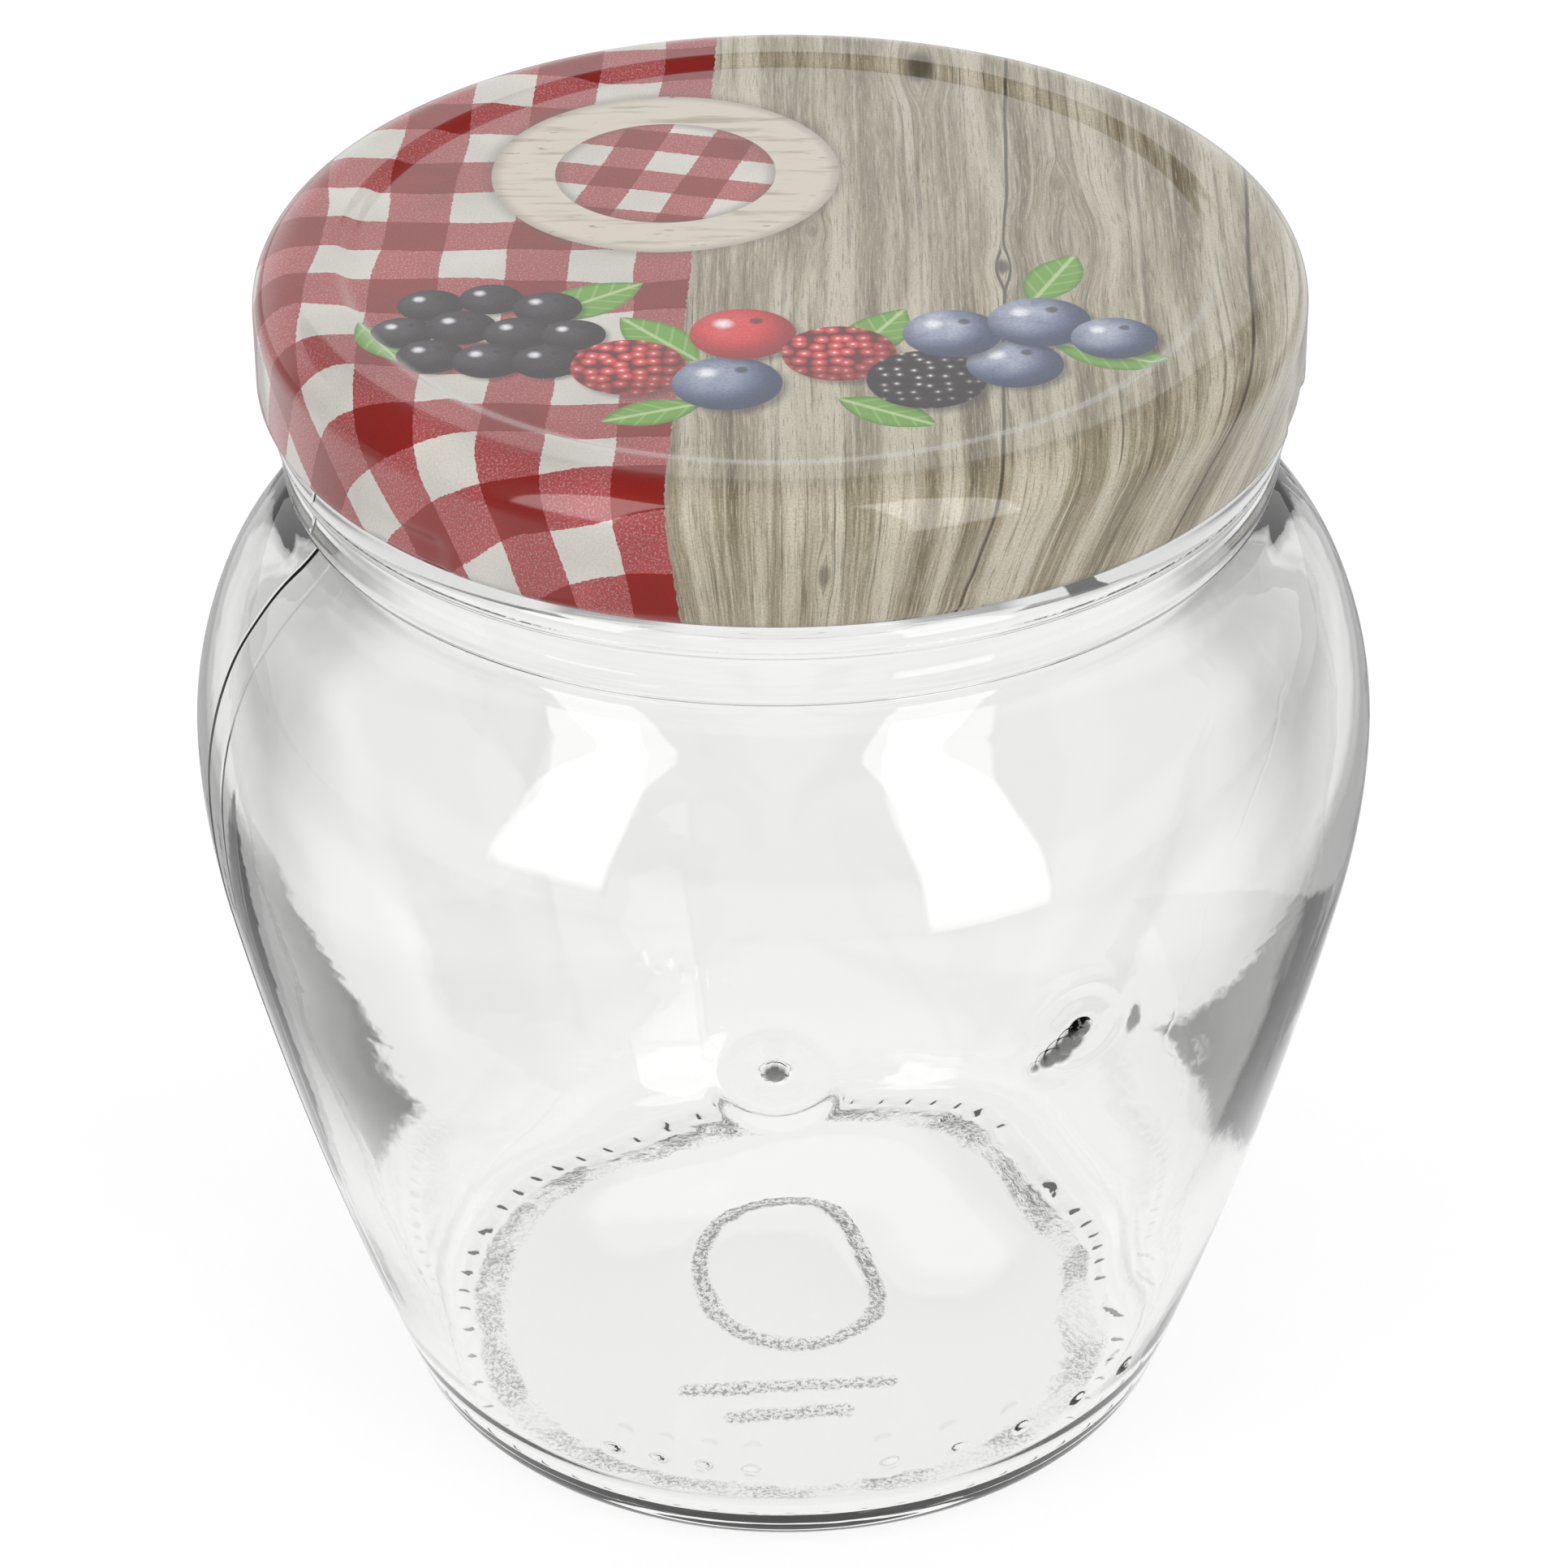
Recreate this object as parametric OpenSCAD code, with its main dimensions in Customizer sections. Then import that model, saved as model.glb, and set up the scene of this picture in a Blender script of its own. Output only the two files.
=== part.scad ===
// Preserve pot with a twist-off lid: a blown glass jar, a pressed tinplate lid and the soft
// ring in the lid that seals against the rim. Millimetres, Z up. The origin is on the table,
// at the middle of the ring that the jar stands on, and the view from the front is along +Y.

/* [Glass body] */
// Radius of the belly where it is widest
belly_r = 49.8; // [49.4:0.1:50.4]
// Height of the widest place above the table
belly_z = 64.5; // [63.5:0.5:65.5]
// Radius of the arc just below the belly
low_belly_arc = 59; // [56:1:62]
// Radius of the long arc of the lower wall
wall_arc = 385; // [370:5:400]
// Radius of the rounded heel
heel_arc = 4; // [3.4:0.2:4.6]
// Radius of the arc just above the belly
high_belly_arc = 29.7; // [29:0.1:30.4]
// Radius of the shoulder
shoulder_arc = 18; // [17:0.5:19]
// Radius of the slope between shoulder and neck
slope_arc = 54; // [50:1:56]
// Thickness of the glass wall
wall_t = 2.8; // [2.4:0.1:3]

/* [Glass base] */
// Width of the flat ring that the jar stands on
bearing_w = 1.4; // [1.2:0.1:1.8]
// Height of the floor inside, at its edge
floor_z = 4.4; // [4:0.1:5]
// Radius of the round inner corner between wall and floor
floor_arc = 8; // [7:0.5:9]
// How far the middle of the base is pushed up
push_up = 2.2; // [1.6:0.1:2.6]
// Number of notches in the ring that the jar stands on
knurls = 60; // [48:2:66]

/* [Neck] */
// Height of the rim
rim_z = 106.9; // [106.8:0.1:107.4]
// Outer radius of the neck
neck_r = 39.3; // [39.2:0.05:39.35]
// Radius of the round ring below the lid
bead_r = 41.9; // [41.7:0.1:42.1]
// Radius of the low step under that ring
step_r = 41.3; // [41.1:0.1:41.5]
// Outer radius over the threads
thread_r = 40.7; // [40.6:0.05:40.75]

/* [Lid] */
// Outer radius of the lid
lid_r = 43; // [42.9:0.1:43.4]
// Height of the lid over its curled edge
lid_h = 11; // [10.9:0.05:11.1]
// Radius of the lid's rounded shoulder
lid_arc = 3.8; // [3.4:0.1:4]
// Radius of the sunken centre panel
panel_r = 34.6; // [32:0.2:35]
// Depth of the sunken centre panel
panel_drop = 0.6; // [0.4:0.05:0.7]
// Thickness of the sheet with its lacquer
sheet_t = 0.25; // [0.2:0.05:0.3]

/* [Screw] */
// Number of lugs in the lid, and of threads on the neck
starts = 6; // [4:1:6]
// Height of one thread
thread_h = 1.8; // [1.6:0.1:1.8]
// Height of one lug
lug_h = 1.6; // [1.4:0.1:1.6]

/* [Hidden] */

$fn = 96;
chord_error = 0.02;
front = -90;

// Turn of the glass from straight out, in degrees, where one arc of the body meets the next
low_belly_turn = 11.9;
high_belly_turn = 23.3;
shoulder_turn = 34.4;
slope_turn = 43;
waist_arc = 3;
ring_turn = 50;
bead_arc = 1.6;
bead_z = 94.9;
rim_arc = 1.1;
under_arc = 1.2;
under_turn = -150;

// Lid: the rise round its panel, and the curl of its edge
panel_rise_w = 2;
curl_arc = 1;

// Screw: each thread starts just before its lug and climbs to the right, seen from outside
lug_angle_first = 47;
lug_span = 11;
lug_tip_r = 39.55;
lug_root_r = 41.3;
lug_lift = 0.2;
thread_back = 12;
thread_ahead = 50;
thread_clear = 0.3;
lead = starts * (thread_h + lug_h + 2 * thread_clear);
helix_angle = atan(lead / (2 * PI * thread_r));

// Soft ring: its thickness, its edges and the play all round it
seal_t = 0.95;
seal_play = 0.05;
seal_in_r = 36.9;
seal_out_r = 41.2;

// Raised dots near the heel in runs of [first angle, pitch, count], and two pips on the belly
dot_z = 11;
dot_r = 0.8;
dot_proud = 0.3;
dot_runs = [[-23.6, 6.2, 4], [13.3, 9.5, 5]];
pip_z = 61;
pip_r = 1.3;
pip_proud = 0.3;
pip_angles = [-1, 28];

// Notches in the ring that the jar stands on
notch_r = 0.55;
notch_depth = 0.35;
notch_inset = 0.6;
notch_l = 3.5;

// Plain raised marks under the base: a ring, and bars as [distance in front, half length]
mark_ring_r = 7.5;
mark_d = 1;
mark_bars = [[13, 9], [16.5, 5]];

function toward(a) = [cos(a), sin(a)];

// An arc runs from one direction of the surface to another. A negative radius makes it hollow.
function arc_end(p, radius, from, to) = p + radius * (toward(to) - toward(from));
function arc_steps(radius, sweep) =
    max(2, ceil(abs(sweep) / (2 * acos(1 - chord_error / abs(radius)))));
function arc_points(p, radius, from, to) =
    let (n = arc_steps(radius, to - from))
    [for (i = [1:n]) arc_end(p, radius, from, from + (to - from) * i / n)];
function backwards(points) = [for (i = [len(points) - 1:-1:0]) points[i]];
function last(points) = points[len(points) - 1];

// Turn at which the long wall arc meets a corner arc that ends at depth `drop` under the belly
function wall_turn(drop, low_arc, long_arc, corner_arc) =
    asin((drop - corner_arc + (long_arc - low_arc) * sin(low_belly_turn))
        / (long_arc - corner_arc));

// Skins of the body above and below its widest place, at an inward distance t
function above_belly(t) =
    let (a = [belly_r - t, belly_z],
         b = arc_end(a, high_belly_arc - t, 0, high_belly_turn),
         c = arc_end(b, shoulder_arc - t, high_belly_turn, shoulder_turn),
         d = arc_end(c, slope_arc - t, shoulder_turn, slope_turn))
    concat([a],
        arc_points(a, high_belly_arc - t, 0, high_belly_turn),
        arc_points(b, shoulder_arc - t, high_belly_turn, shoulder_turn),
        arc_points(c, slope_arc - t, shoulder_turn, slope_turn),
        arc_points(d, -waist_arc - t, slope_turn, 0));
function below_belly(t, corner_arc, bottom) =
    let (turn = wall_turn(belly_z - bottom, low_belly_arc - t, wall_arc - t, corner_arc),
         a = [belly_r - t, belly_z],
         b = arc_end(a, low_belly_arc - t, 0, -low_belly_turn),
         c = arc_end(b, wall_arc - t, -low_belly_turn, -turn))
    concat(arc_points(a, low_belly_arc - t, 0, -low_belly_turn),
        arc_points(b, wall_arc - t, -low_belly_turn, -turn),
        arc_points(c, corner_arc, -turn, -90));

// Height of a base that rises in a cosine from its edge to its middle, and points along it
function pushed_height(r, edge) = edge[1] + push_up * (1 + cos(180 * r / edge[0])) / 2;
function pushed_up(edge, steps = 12) =
    [for (i = [1:steps]) [edge[0] * (1 - i / steps), pushed_height(edge[0] * (1 - i / steps), edge)]];

outer_low = below_belly(0, heel_arc, 0);
outer_high = above_belly(0);
inner_low = below_belly(wall_t, floor_arc, floor_z);
inner_high = above_belly(wall_t);
waist = last(outer_high);
bearing_r = last(outer_low)[0];
bore_r = waist[0] - wall_t;

// Zone under the lid: a flare, a low step, the round ring, and a fillet back to the neck
flare_arc = (step_r - waist[0]) / (1 - cos(ring_turn)) / 1.5;
flare_end = arc_end(waist, -flare_arc, 0, -ring_turn);
bead_end_turn = 80;
bead_start_turn = -acos((step_r - bead_r + bead_arc) / bead_arc);
bead_start = [step_r, bead_z + bead_arc * sin(bead_start_turn)];
bead_end = arc_end(bead_start, bead_arc, bead_start_turn, bead_end_turn);
neck_fillet = (bead_end[0] - neck_r) / (1 - cos(bead_end_turn));

bearing_in = [bearing_r - bearing_w, 0];
under_a = arc_end(bearing_in, under_arc, -90, under_turn);
under_b = arc_end(under_a, -under_arc, under_turn, -90);

jar_profile = concat(
    backwards(concat([bearing_in],
        arc_points(bearing_in, under_arc, -90, under_turn),
        arc_points(under_a, -under_arc, under_turn, -90),
        pushed_up(under_b))),
    backwards(outer_low),
    outer_high,
    arc_points(waist, -flare_arc, 0, -ring_turn),
    arc_points(flare_end, flare_arc / 2, -ring_turn, 0),
    [bead_start],
    arc_points(bead_start, bead_arc, bead_start_turn, bead_end_turn),
    arc_points(bead_end, -neck_fillet, bead_end_turn, 0),
    [[neck_r, rim_z - rim_arc]],
    arc_points([neck_r, rim_z - rim_arc], rim_arc, 0, 90),
    [[bore_r + rim_arc, rim_z]],
    arc_points([bore_r + rim_arc, rim_z], rim_arc, 90, 180),
    backwards(inner_high),
    inner_low,
    pushed_up(last(inner_low))
);

// Lid: the skin of its crown at a distance t inside the outer surface, from the middle out
seal_bottom = rim_z + seal_play;
lid_top = seal_bottom + seal_t + seal_play + sheet_t;
lid_bottom = lid_top - lid_h;
lug_z = lid_bottom + curl_arc + lug_lift;
panel_turn = 2 * atan(panel_drop / panel_rise_w);
panel_arc = panel_rise_w / (2 * sin(panel_turn));
crown_edge_r = lid_r - lid_arc;
function lid_crown(t) =
    let (a = [panel_r, lid_top - panel_drop - t],
         b = arc_end(a, -panel_arc - t, 90, 90 + panel_turn))
    concat([[0, a[1]], a],
        arc_points(a, -panel_arc - t, 90, 90 + panel_turn),
        arc_points(b, panel_arc - t, 90 + panel_turn, 90),
        [[crown_edge_r, lid_top - t]],
        arc_points([crown_edge_r, lid_top - t], lid_arc - t, 90, 0));

// Edge of the sheet, curled inwards three quarters of the way round
curl_out = [lid_r, lid_bottom + curl_arc];
curl_in = [lid_r - curl_arc, lid_bottom + 2 * curl_arc - sheet_t];
lid_profile = concat(
    lid_crown(0),
    [curl_out],
    arc_points(curl_out, curl_arc, 0, -270),
    [curl_in],
    arc_points(curl_in, curl_arc - sheet_t, -270, 0),
    backwards(lid_crown(sheet_t))
);

// Soft ring: flat below, and above it follows the crown with a little play
seal_skin = sheet_t + seal_play;
seal_turn = acos((seal_out_r - crown_edge_r) / (lid_arc - seal_skin));
seal_shoulder = [seal_out_r, lid_top - lid_arc + (lid_arc - seal_skin) * sin(seal_turn)];
seal_profile = concat(
    [[seal_in_r, seal_bottom], [seal_out_r, seal_bottom], seal_shoulder],
    arc_points(seal_shoulder, lid_arc - seal_skin, seal_turn, 90),
    [[seal_in_r, lid_top - seal_skin]]
);

// A round boss that stands out of the glass at height z on an arc below the belly
module boss(angle, start, radius, from, z, r, proud) {
    turn = asin((start[1] - z) / radius - sin(from));
    skin = arc_end(start, radius, from, -turn);
    centre = skin - (r - proud) * toward(-turn);
    rotate([0, 0, front + angle])
        translate([centre[0], 0, centre[1]])
            sphere(r);
}

// A ridge with round ends that winds round the axis at the angle of the screw
module screw_arc(span) {
    rotate([helix_angle, 0, 0])
        rotate([0, 0, -span / 2])
            rotate_extrude(angle = span)
                children();
}

module thread() {
    span = thread_back + thread_ahead;
    core_r = thread_r - thread_h / 2;
    screw_arc(span)
        translate([core_r, 0])
            circle(d = thread_h);
    for (side = [-1, 1])
        rotate([helix_angle, 0, 0])
            rotate([0, 0, side * span / 2])
                translate([core_r, 0, 0])
                    sphere(d = thread_h);
}

module threads() {
    middle = (thread_ahead - thread_back) / 2;
    z = lug_z + (lug_h + thread_h) / 2 + thread_clear + lead * middle / 360;
    for (i = [0:starts - 1])
        rotate([0, 0, lug_angle_first + middle + 360 * i / starts])
            translate([0, 0, z])
                thread();
}

module heel_dots() {
    start = arc_end([belly_r, belly_z], low_belly_arc, 0, -low_belly_turn);
    for (run = dot_runs, i = [0:run[2] - 1])
        boss(run[0] + run[1] * i, start, wall_arc, -low_belly_turn, dot_z, dot_r, dot_proud);
}

module belly_pips() {
    for (angle = pip_angles)
        boss(angle, [belly_r, belly_z], low_belly_arc, 0, pip_z, pip_r, pip_proud);
}

module bearing_notches() {
    for (i = [0:knurls - 1])
        rotate([0, 0, 360 * i / knurls])
            translate([bearing_in[0] + notch_inset, 0, notch_depth - notch_r])
                rotate([0, 90, 0])
                    cylinder(h = notch_l, r = notch_r);
}

module base_marks() {
    rotate_extrude()
        translate([mark_ring_r, pushed_height(mark_ring_r, under_b)])
            circle(d = mark_d);
    for (bar = mark_bars)
        translate([0, -bar[0], pushed_height(norm([bar[0], bar[1] / 2]), under_b)]) {
            rotate([0, 90, 0])
                cylinder(h = 2 * bar[1], d = mark_d, center = true);
            for (side = [-1, 1])
                translate([side * bar[1], 0, 0])
                    sphere(d = mark_d);
        }
}

module glass_jar() {
    color([0.86, 0.9, 0.89, 0.4])
        difference() {
            union() {
                rotate_extrude()
                    polygon(jar_profile);
                threads();
                heel_dots();
                belly_pips();
                base_marks();
            }
            bearing_notches();
        }
}

module lug() {
    screw_arc(lug_span) {
        translate([lug_tip_r + lug_h / 2, 0])
            circle(d = lug_h);
        translate([lug_tip_r + lug_h / 2, -lug_h / 2])
            square([lug_root_r - lug_tip_r - lug_h / 2, lug_h]);
    }
}

module lid_shell() {
    color([0.72, 0.3, 0.27]) {
        rotate_extrude()
            polygon(lid_profile);
        for (i = [0:starts - 1])
            rotate([0, 0, lug_angle_first + 360 * i / starts])
                translate([0, 0, lug_z])
                    lug();
    }
}

module sealing_ring() {
    color([0.93, 0.9, 0.82])
        rotate_extrude()
            polygon(seal_profile);
}

glass_jar();
lid_shell();
sealing_ring();
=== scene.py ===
"""Preserve jar with a twist-off lid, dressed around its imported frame.

Every new piece is a skin of rings round the jar's axis: an outline of arcs is laid out once, rows
are taken along it, and reliefs such as threads, pips and notches push the rows out or in.
Metres, Z up, and the view from the front is along +Y.
"""

import math

import bpy
import numpy as np
from bpy.props import FloatProperty, FloatVectorProperty, IntProperty, PointerProperty
from mathutils import Euler, Matrix, Vector


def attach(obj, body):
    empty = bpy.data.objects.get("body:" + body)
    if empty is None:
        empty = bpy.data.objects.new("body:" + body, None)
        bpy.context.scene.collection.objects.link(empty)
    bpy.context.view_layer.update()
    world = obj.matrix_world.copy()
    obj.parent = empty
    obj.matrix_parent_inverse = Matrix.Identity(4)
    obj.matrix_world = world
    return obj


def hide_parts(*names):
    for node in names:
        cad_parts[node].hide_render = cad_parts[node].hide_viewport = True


bl_info = {
    "name": "Preserve jar",
    "version": (1, 0, 0),
    "blender": (4, 5, 0),
    "location": "3D View > Sidebar > Preserve jar",
    "description": "Builds a glass preserve jar with a printed twist-off lid and a small studio",
    "category": "Add Mesh",
}

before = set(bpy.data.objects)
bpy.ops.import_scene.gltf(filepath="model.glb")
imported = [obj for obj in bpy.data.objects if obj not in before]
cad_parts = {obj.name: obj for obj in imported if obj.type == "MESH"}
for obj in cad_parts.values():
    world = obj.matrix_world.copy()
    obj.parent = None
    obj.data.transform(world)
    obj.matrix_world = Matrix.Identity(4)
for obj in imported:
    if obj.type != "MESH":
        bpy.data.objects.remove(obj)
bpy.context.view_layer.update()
MM = 0.001
FRONT = -90.0


def length(name, default, description):
    """A size in metres that the sidebar shows with its unit."""
    return FloatProperty(
        name=name, default=default, description=description, unit="LENGTH", precision=5
    )


def angle(name, degrees, description):
    """An angle, given in degrees and kept in radians."""
    turn = math.radians(degrees)
    return FloatProperty(name=name, default=turn, description=description, subtype="ANGLE")


def colour(name, red, green, blue, description):
    """A colour given as the eye reads it, from 0 to 255, and kept as scene linear light."""
    levels = [c / 255 for c in (red, green, blue)]
    linear = [c / 12.92 if c <= 0.04045 else ((c + 0.055) / 1.055) ** 2.4 for c in levels]
    return FloatVectorProperty(
        name=name, default=linear, description=description, subtype="COLOR", min=0, max=1
    )


class JarShape(bpy.types.PropertyGroup):
    """Sizes of the glass."""

    belly_r: length("Belly radius", 49.8 * MM, "Radius where the belly is widest")
    belly_z: length("Belly height", 64.5 * MM, "Height of the widest place")
    low_belly_arc: length("Low belly arc", 59 * MM, "Radius of the arc just below the belly")
    wall_arc: length("Wall arc", 385 * MM, "Radius of the long arc of the lower wall")
    heel_arc: length("Heel arc", 4 * MM, "Radius of the rounded heel")
    high_belly_arc: length("High belly arc", 29.7 * MM, "Radius of the arc above the belly")
    shoulder_arc: length("Shoulder arc", 18 * MM, "Radius of the shoulder")
    slope_arc: length("Slope arc", 54 * MM, "Radius of the slope up to the neck")
    waist_arc: length("Waist arc", 3 * MM, "Hollow radius of the inner skin's bend at the neck")
    steep_arc: length("Steep arc", 18 * MM, "Radius of the steeper end of the outer slope")
    neck_hollow: length("Neck hollow", 13 * MM, "Hollow radius between slope and neck ring")
    wall_t: length("Wall", 2.8 * MM, "Thickness of the glass wall")
    bearing_w: length("Bearing width", 1.4 * MM, "Width of the flat ring that it stands on")
    floor_z: length("Floor height", 2.6 * MM, "Height of the floor inside, at its edge")
    floor_arc: length("Floor arc", 3.5 * MM, "Round corner between wall and floor")
    push_up: length("Push-up", 2.2 * MM, "How far the middle of the base is pushed up")
    rim_z: length("Rim height", 106.9 * MM, "Height of the rim")
    neck_r: length("Neck radius", 39.3 * MM, "Outer radius of the neck")
    bead_r: length("Bead radius", 41.9 * MM, "Radius of the round ring below the lid")
    step_r: length("Step radius", 41.3 * MM, "Radius of the low step under that ring")
    thread_r: length("Thread radius", 40.7 * MM, "Outer radius over the threads")
    thread_h: length("Thread height", 1.8 * MM, "Height of one thread")
    knurls: IntProperty(name="Notches", default=60, description="Notches in the bearing ring")
    wave: length("Glass waves", 0.1 * MM, "Swell of the inner skin, as in blown glass")


class LidShape(bpy.types.PropertyGroup):
    """Sizes of the tinplate lid."""

    lid_r: length("Lid radius", 43 * MM, "Outer radius of the lid")
    lid_h: length("Lid height", 11 * MM, "Height of the lid over its curled edge")
    lid_arc: length("Shoulder arc", 3.8 * MM, "Radius of the lid's rounded shoulder")
    panel_r: length("Panel radius", 34.6 * MM, "Radius of the sunken centre panel")
    panel_drop: length("Panel depth", 0.6 * MM, "Depth of the sunken centre panel")
    panel_rise_w: length("Rise width", 2 * MM, "Width of the rise round the panel")
    sheet_t: length("Sheet", 0.25 * MM, "Thickness of the tinplate")
    curl_arc: length("Curl arc", 1 * MM, "Radius of the curled edge")
    lug_tip_r: length("Lug reach", 39.55 * MM, "Radius at the tips of the lugs")
    lug_span: angle("Lug span", 11, "Angle that one lug takes up")
    dent: length("Lug dent", 0.3 * MM, "Depth of the dent in the skirt over each lug")
    starts: IntProperty(name="Lugs", default=6, description="Lugs in the lid, and threads")


class PrintLook(bpy.types.PropertyGroup):
    """Colours and sizes of the print on the lid."""

    check: length("Check", 5.27 * MM, "Width of one stripe of the gingham")
    red: colour("Red", 138, 22, 14, "Where two red stripes of the gingham cross")
    pink: colour("Pink", 178, 82, 86, "Where a red stripe crosses a white one")
    white: colour("White", 212, 208, 200, "White checks of the gingham")
    wood: colour("Wood", 152, 142, 119, "Weathered planks")
    wood_dark: colour("Dark grain", 88, 76, 54, "Dark fibres and knots in the planks")
    wood_pale: colour("Pale grain", 203, 195, 176, "Pale fibres in the planks")
    plum: colour("Plum", 40, 26, 32, "Dark round fruit")
    cherry: colour("Cherry", 222, 50, 54, "Red round fruit")
    sloe: colour("Sloe", 88, 104, 142, "Blue round fruit")
    leaf: colour("Leaf", 112, 164, 66, "Leaves")
    plaque: colour("Plaque", 214, 204, 190, "Pale wooden plaque")


class GlassLook(bpy.types.PropertyGroup):
    """Finish of the glass, the lid's inside and the soft ring."""

    tint: colour("Glass tint", 254, 254, 253, "What clear glass lets through")
    # What the glass lets through where it is darkened: frosting under the base, and painted shade on
    # the pips' drops and their tail.
    shade: colour("Frosting", 60, 61, 58, "What rough marks in the glass let through")
    bend: FloatProperty(name="Refraction", default=1.52, description="How much glass bends light")
    enamel: colour("Enamel", 226, 222, 210, "Pale lacquer inside the lid")
    seal: colour("Seal", 222, 214, 196, "Soft compound of the ring")


class Studio(bpy.types.PropertyGroup):
    """Camera, lamps and backdrop."""

    distance: length("Camera distance", 500 * MM, "From the middle of the view to the camera")
    rise: angle("Camera rise", 32.4, "Elevation of the camera")
    aim_z: length("Aim height", 56.3 * MM, "Height of the point that the camera looks at")
    roll: angle("Camera roll", 0.44, "How far the camera leans to its right")
    lens: FloatProperty(name="Lens", default=133.4, description="Focal length in millimetres")
    floor_r: length("Floor radius", 1.6, "Radius of the round floor")
    window_far: length("Window distance", 1.15, "From the jar to each soft lamp")
    window_glow: FloatProperty(name="Window glow", default=3.3, description="Radiance of each")
    room: FloatProperty(name="Room light", default=0.72, description="Plain light on dull surfaces")
    dark: FloatProperty(name="Dark room", default=0.1, description="What gloss sees past the sweep")


def settings():
    """The sizes and colours in the sidebar."""
    return bpy.context.scene.preserve_jar


# Outlines. A point is (out from the axis, up), and the surface's heading is its outward direction.


def heading(degrees):
    """Unit vectors at angles from straight out, turning up: the cosine outwards, the sine upwards."""
    turns = np.radians(degrees)
    return np.stack([np.cos(turns), np.sin(turns)], axis=-1)


def arc(start, radius, begin, finish, error=0.002 * MM):
    """Points of an arc after its start, while the heading turns from begin to finish: the start
    plus the radius times the change of heading. A negative radius makes the arc hollow."""
    step = math.degrees(2 * math.acos(1 - error / max(abs(radius), 2 * error)))
    count = max(2, math.ceil(abs(finish - begin) / step))
    turns = np.linspace(begin, finish, count + 1)[1:]
    return start + radius * (heading(turns) - heading(begin))


def chain(start, *steps):
    """An outline from start: a step is an arc, as (radius, begin, finish), or a straight's end."""
    parts = [np.array([start], float)]
    for step in steps:
        last = parts[-1][-1]
        parts.append(arc(last, *step) if len(step) == 3 else np.array([step], float))
    return np.concatenate(parts)


def distances(outline):
    """Distance along an outline at each of its points."""
    return np.concatenate([[0], np.cumsum(np.hypot(*np.diff(outline, axis=0).T))])


def take_rows(outline, stops):
    """Rows along an outline: distance, place and outward normal of each, as columns. stops holds
    the first distance and then pairs of (distance, step). The normal is the direction of travel
    turned a quarter clockwise, because every outline here keeps its solid on the left."""
    travel = distances(outline)
    marks = [np.array([stops[0]])]
    for finish, step in stops[1:]:
        begin = marks[-1][-1]
        count = max(1, round((finish - begin) / step))
        marks.append(np.linspace(begin, finish, count + 1)[1:])
    along = np.concatenate(marks)
    nudge = 0.02 * MM

    def place(where):
        return np.stack([np.interp(where, travel, outline[:, k]) for k in (0, 1)], axis=-1)

    course = place(along + nudge) - place(along - nudge)
    course /= np.hypot(*course.T)[:, None]
    normal = np.stack([course[:, 1], -course[:, 0]], axis=-1)
    return along, place(along), normal


def smooth(value, low, high):
    """0 below low, 1 above high, and a smooth S between."""
    t = np.clip((value - low) / (high - low), 0, 1)
    return t * t * (3 - 2 * t)


def around(degrees):
    """Angles brought into -180 to 180 degrees."""
    return (degrees + 180) % 360 - 180


def ring_points(rows, degrees, relief):
    """Points of a band: each row of the outline carried round the axis, pushed along its normal by
    relief(out, up, degrees, along). Returns an array of rows by columns by 3."""
    along, place, normal = rows
    turns = np.radians(degrees)
    out, up = place[:, :1], place[:, 1:]
    grid_turns = np.broadcast_to(degrees, (len(along), len(degrees)))
    push = relief(out, up, grid_turns, along[:, None])
    far = out + normal[:, :1] * push
    return np.stack([far * np.cos(turns), far * np.sin(turns), up + normal[:, 1:] * push], axis=-1)


def even(columns):
    """Evenly spaced angles round the axis."""
    return np.arange(columns) * 360 / columns


def round_ring(columns):
    """The numbers of a closed ring's vertices, and of the ones after them."""
    j = np.arange(columns)
    return j, (j + 1) % columns


def quads(rows, columns, first):
    """Corners of the faces of a band whose rows close on themselves, from vertex number first."""
    i = np.arange(rows - 1)[:, None] * columns
    j, k = round_ring(columns)
    return (np.stack([i + j, i + k, i + columns + k, i + columns + j], -1) + first).reshape(-1, 4)


def zipper(low, low_first, high, high_first):
    """Triangles between two closed rings with any columns: the angles of both are merged in
    order, and each step on one ring makes a triangle with the other ring's current vertex."""
    steps = np.concatenate([np.append(low[1:], low[0] + 360), np.append(high[1:], high[0] + 360)])
    order = np.argsort(steps, kind="stable")
    is_low = order < len(low)
    i = (np.cumsum(is_low) - is_low) % len(low)
    j = (np.cumsum(~is_low) - ~is_low) % len(high)
    here, there = i + low_first, j + high_first
    along_low = np.stack([here, (i + 1) % len(low) + low_first, there], axis=1)
    along_high = np.stack([here, (j + 1) % len(high) + high_first, there], axis=1)
    return np.where(is_low[:, None], along_low, along_high)


def skin_mesh(name, bands, pole_heights):
    """One closed object from bands in order, each (degrees, points), joined by zippers and closed
    by a pole on the axis at each end. The first pole is vertex 0."""
    places, faces, joins = [[[0, 0, pole_heights[0]]]], [], []
    first = 1
    for number, (degrees, grid) in enumerate(bands):
        rows, columns = grid.shape[:2]
        places.append(grid.reshape(-1, 3))
        faces.append(quads(rows, columns, first))
        last_row = first + (rows - 1) * columns
        first += rows * columns
        if number + 1 < len(bands):
            joins.append(zipper(degrees, last_row, bands[number + 1][0], first))
    j, k = round_ring(len(bands[0][0]))
    joins.append(np.stack([0 * j, k + 1, j + 1], axis=1))
    j, k = round_ring(columns)
    joins.append(np.stack([j + last_row, k + last_row, 0 * j + first], axis=1))
    places.append([[0, 0, pole_heights[1]]])
    return make_mesh(name, np.concatenate(places), np.concatenate(faces), np.concatenate(joins))


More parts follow.
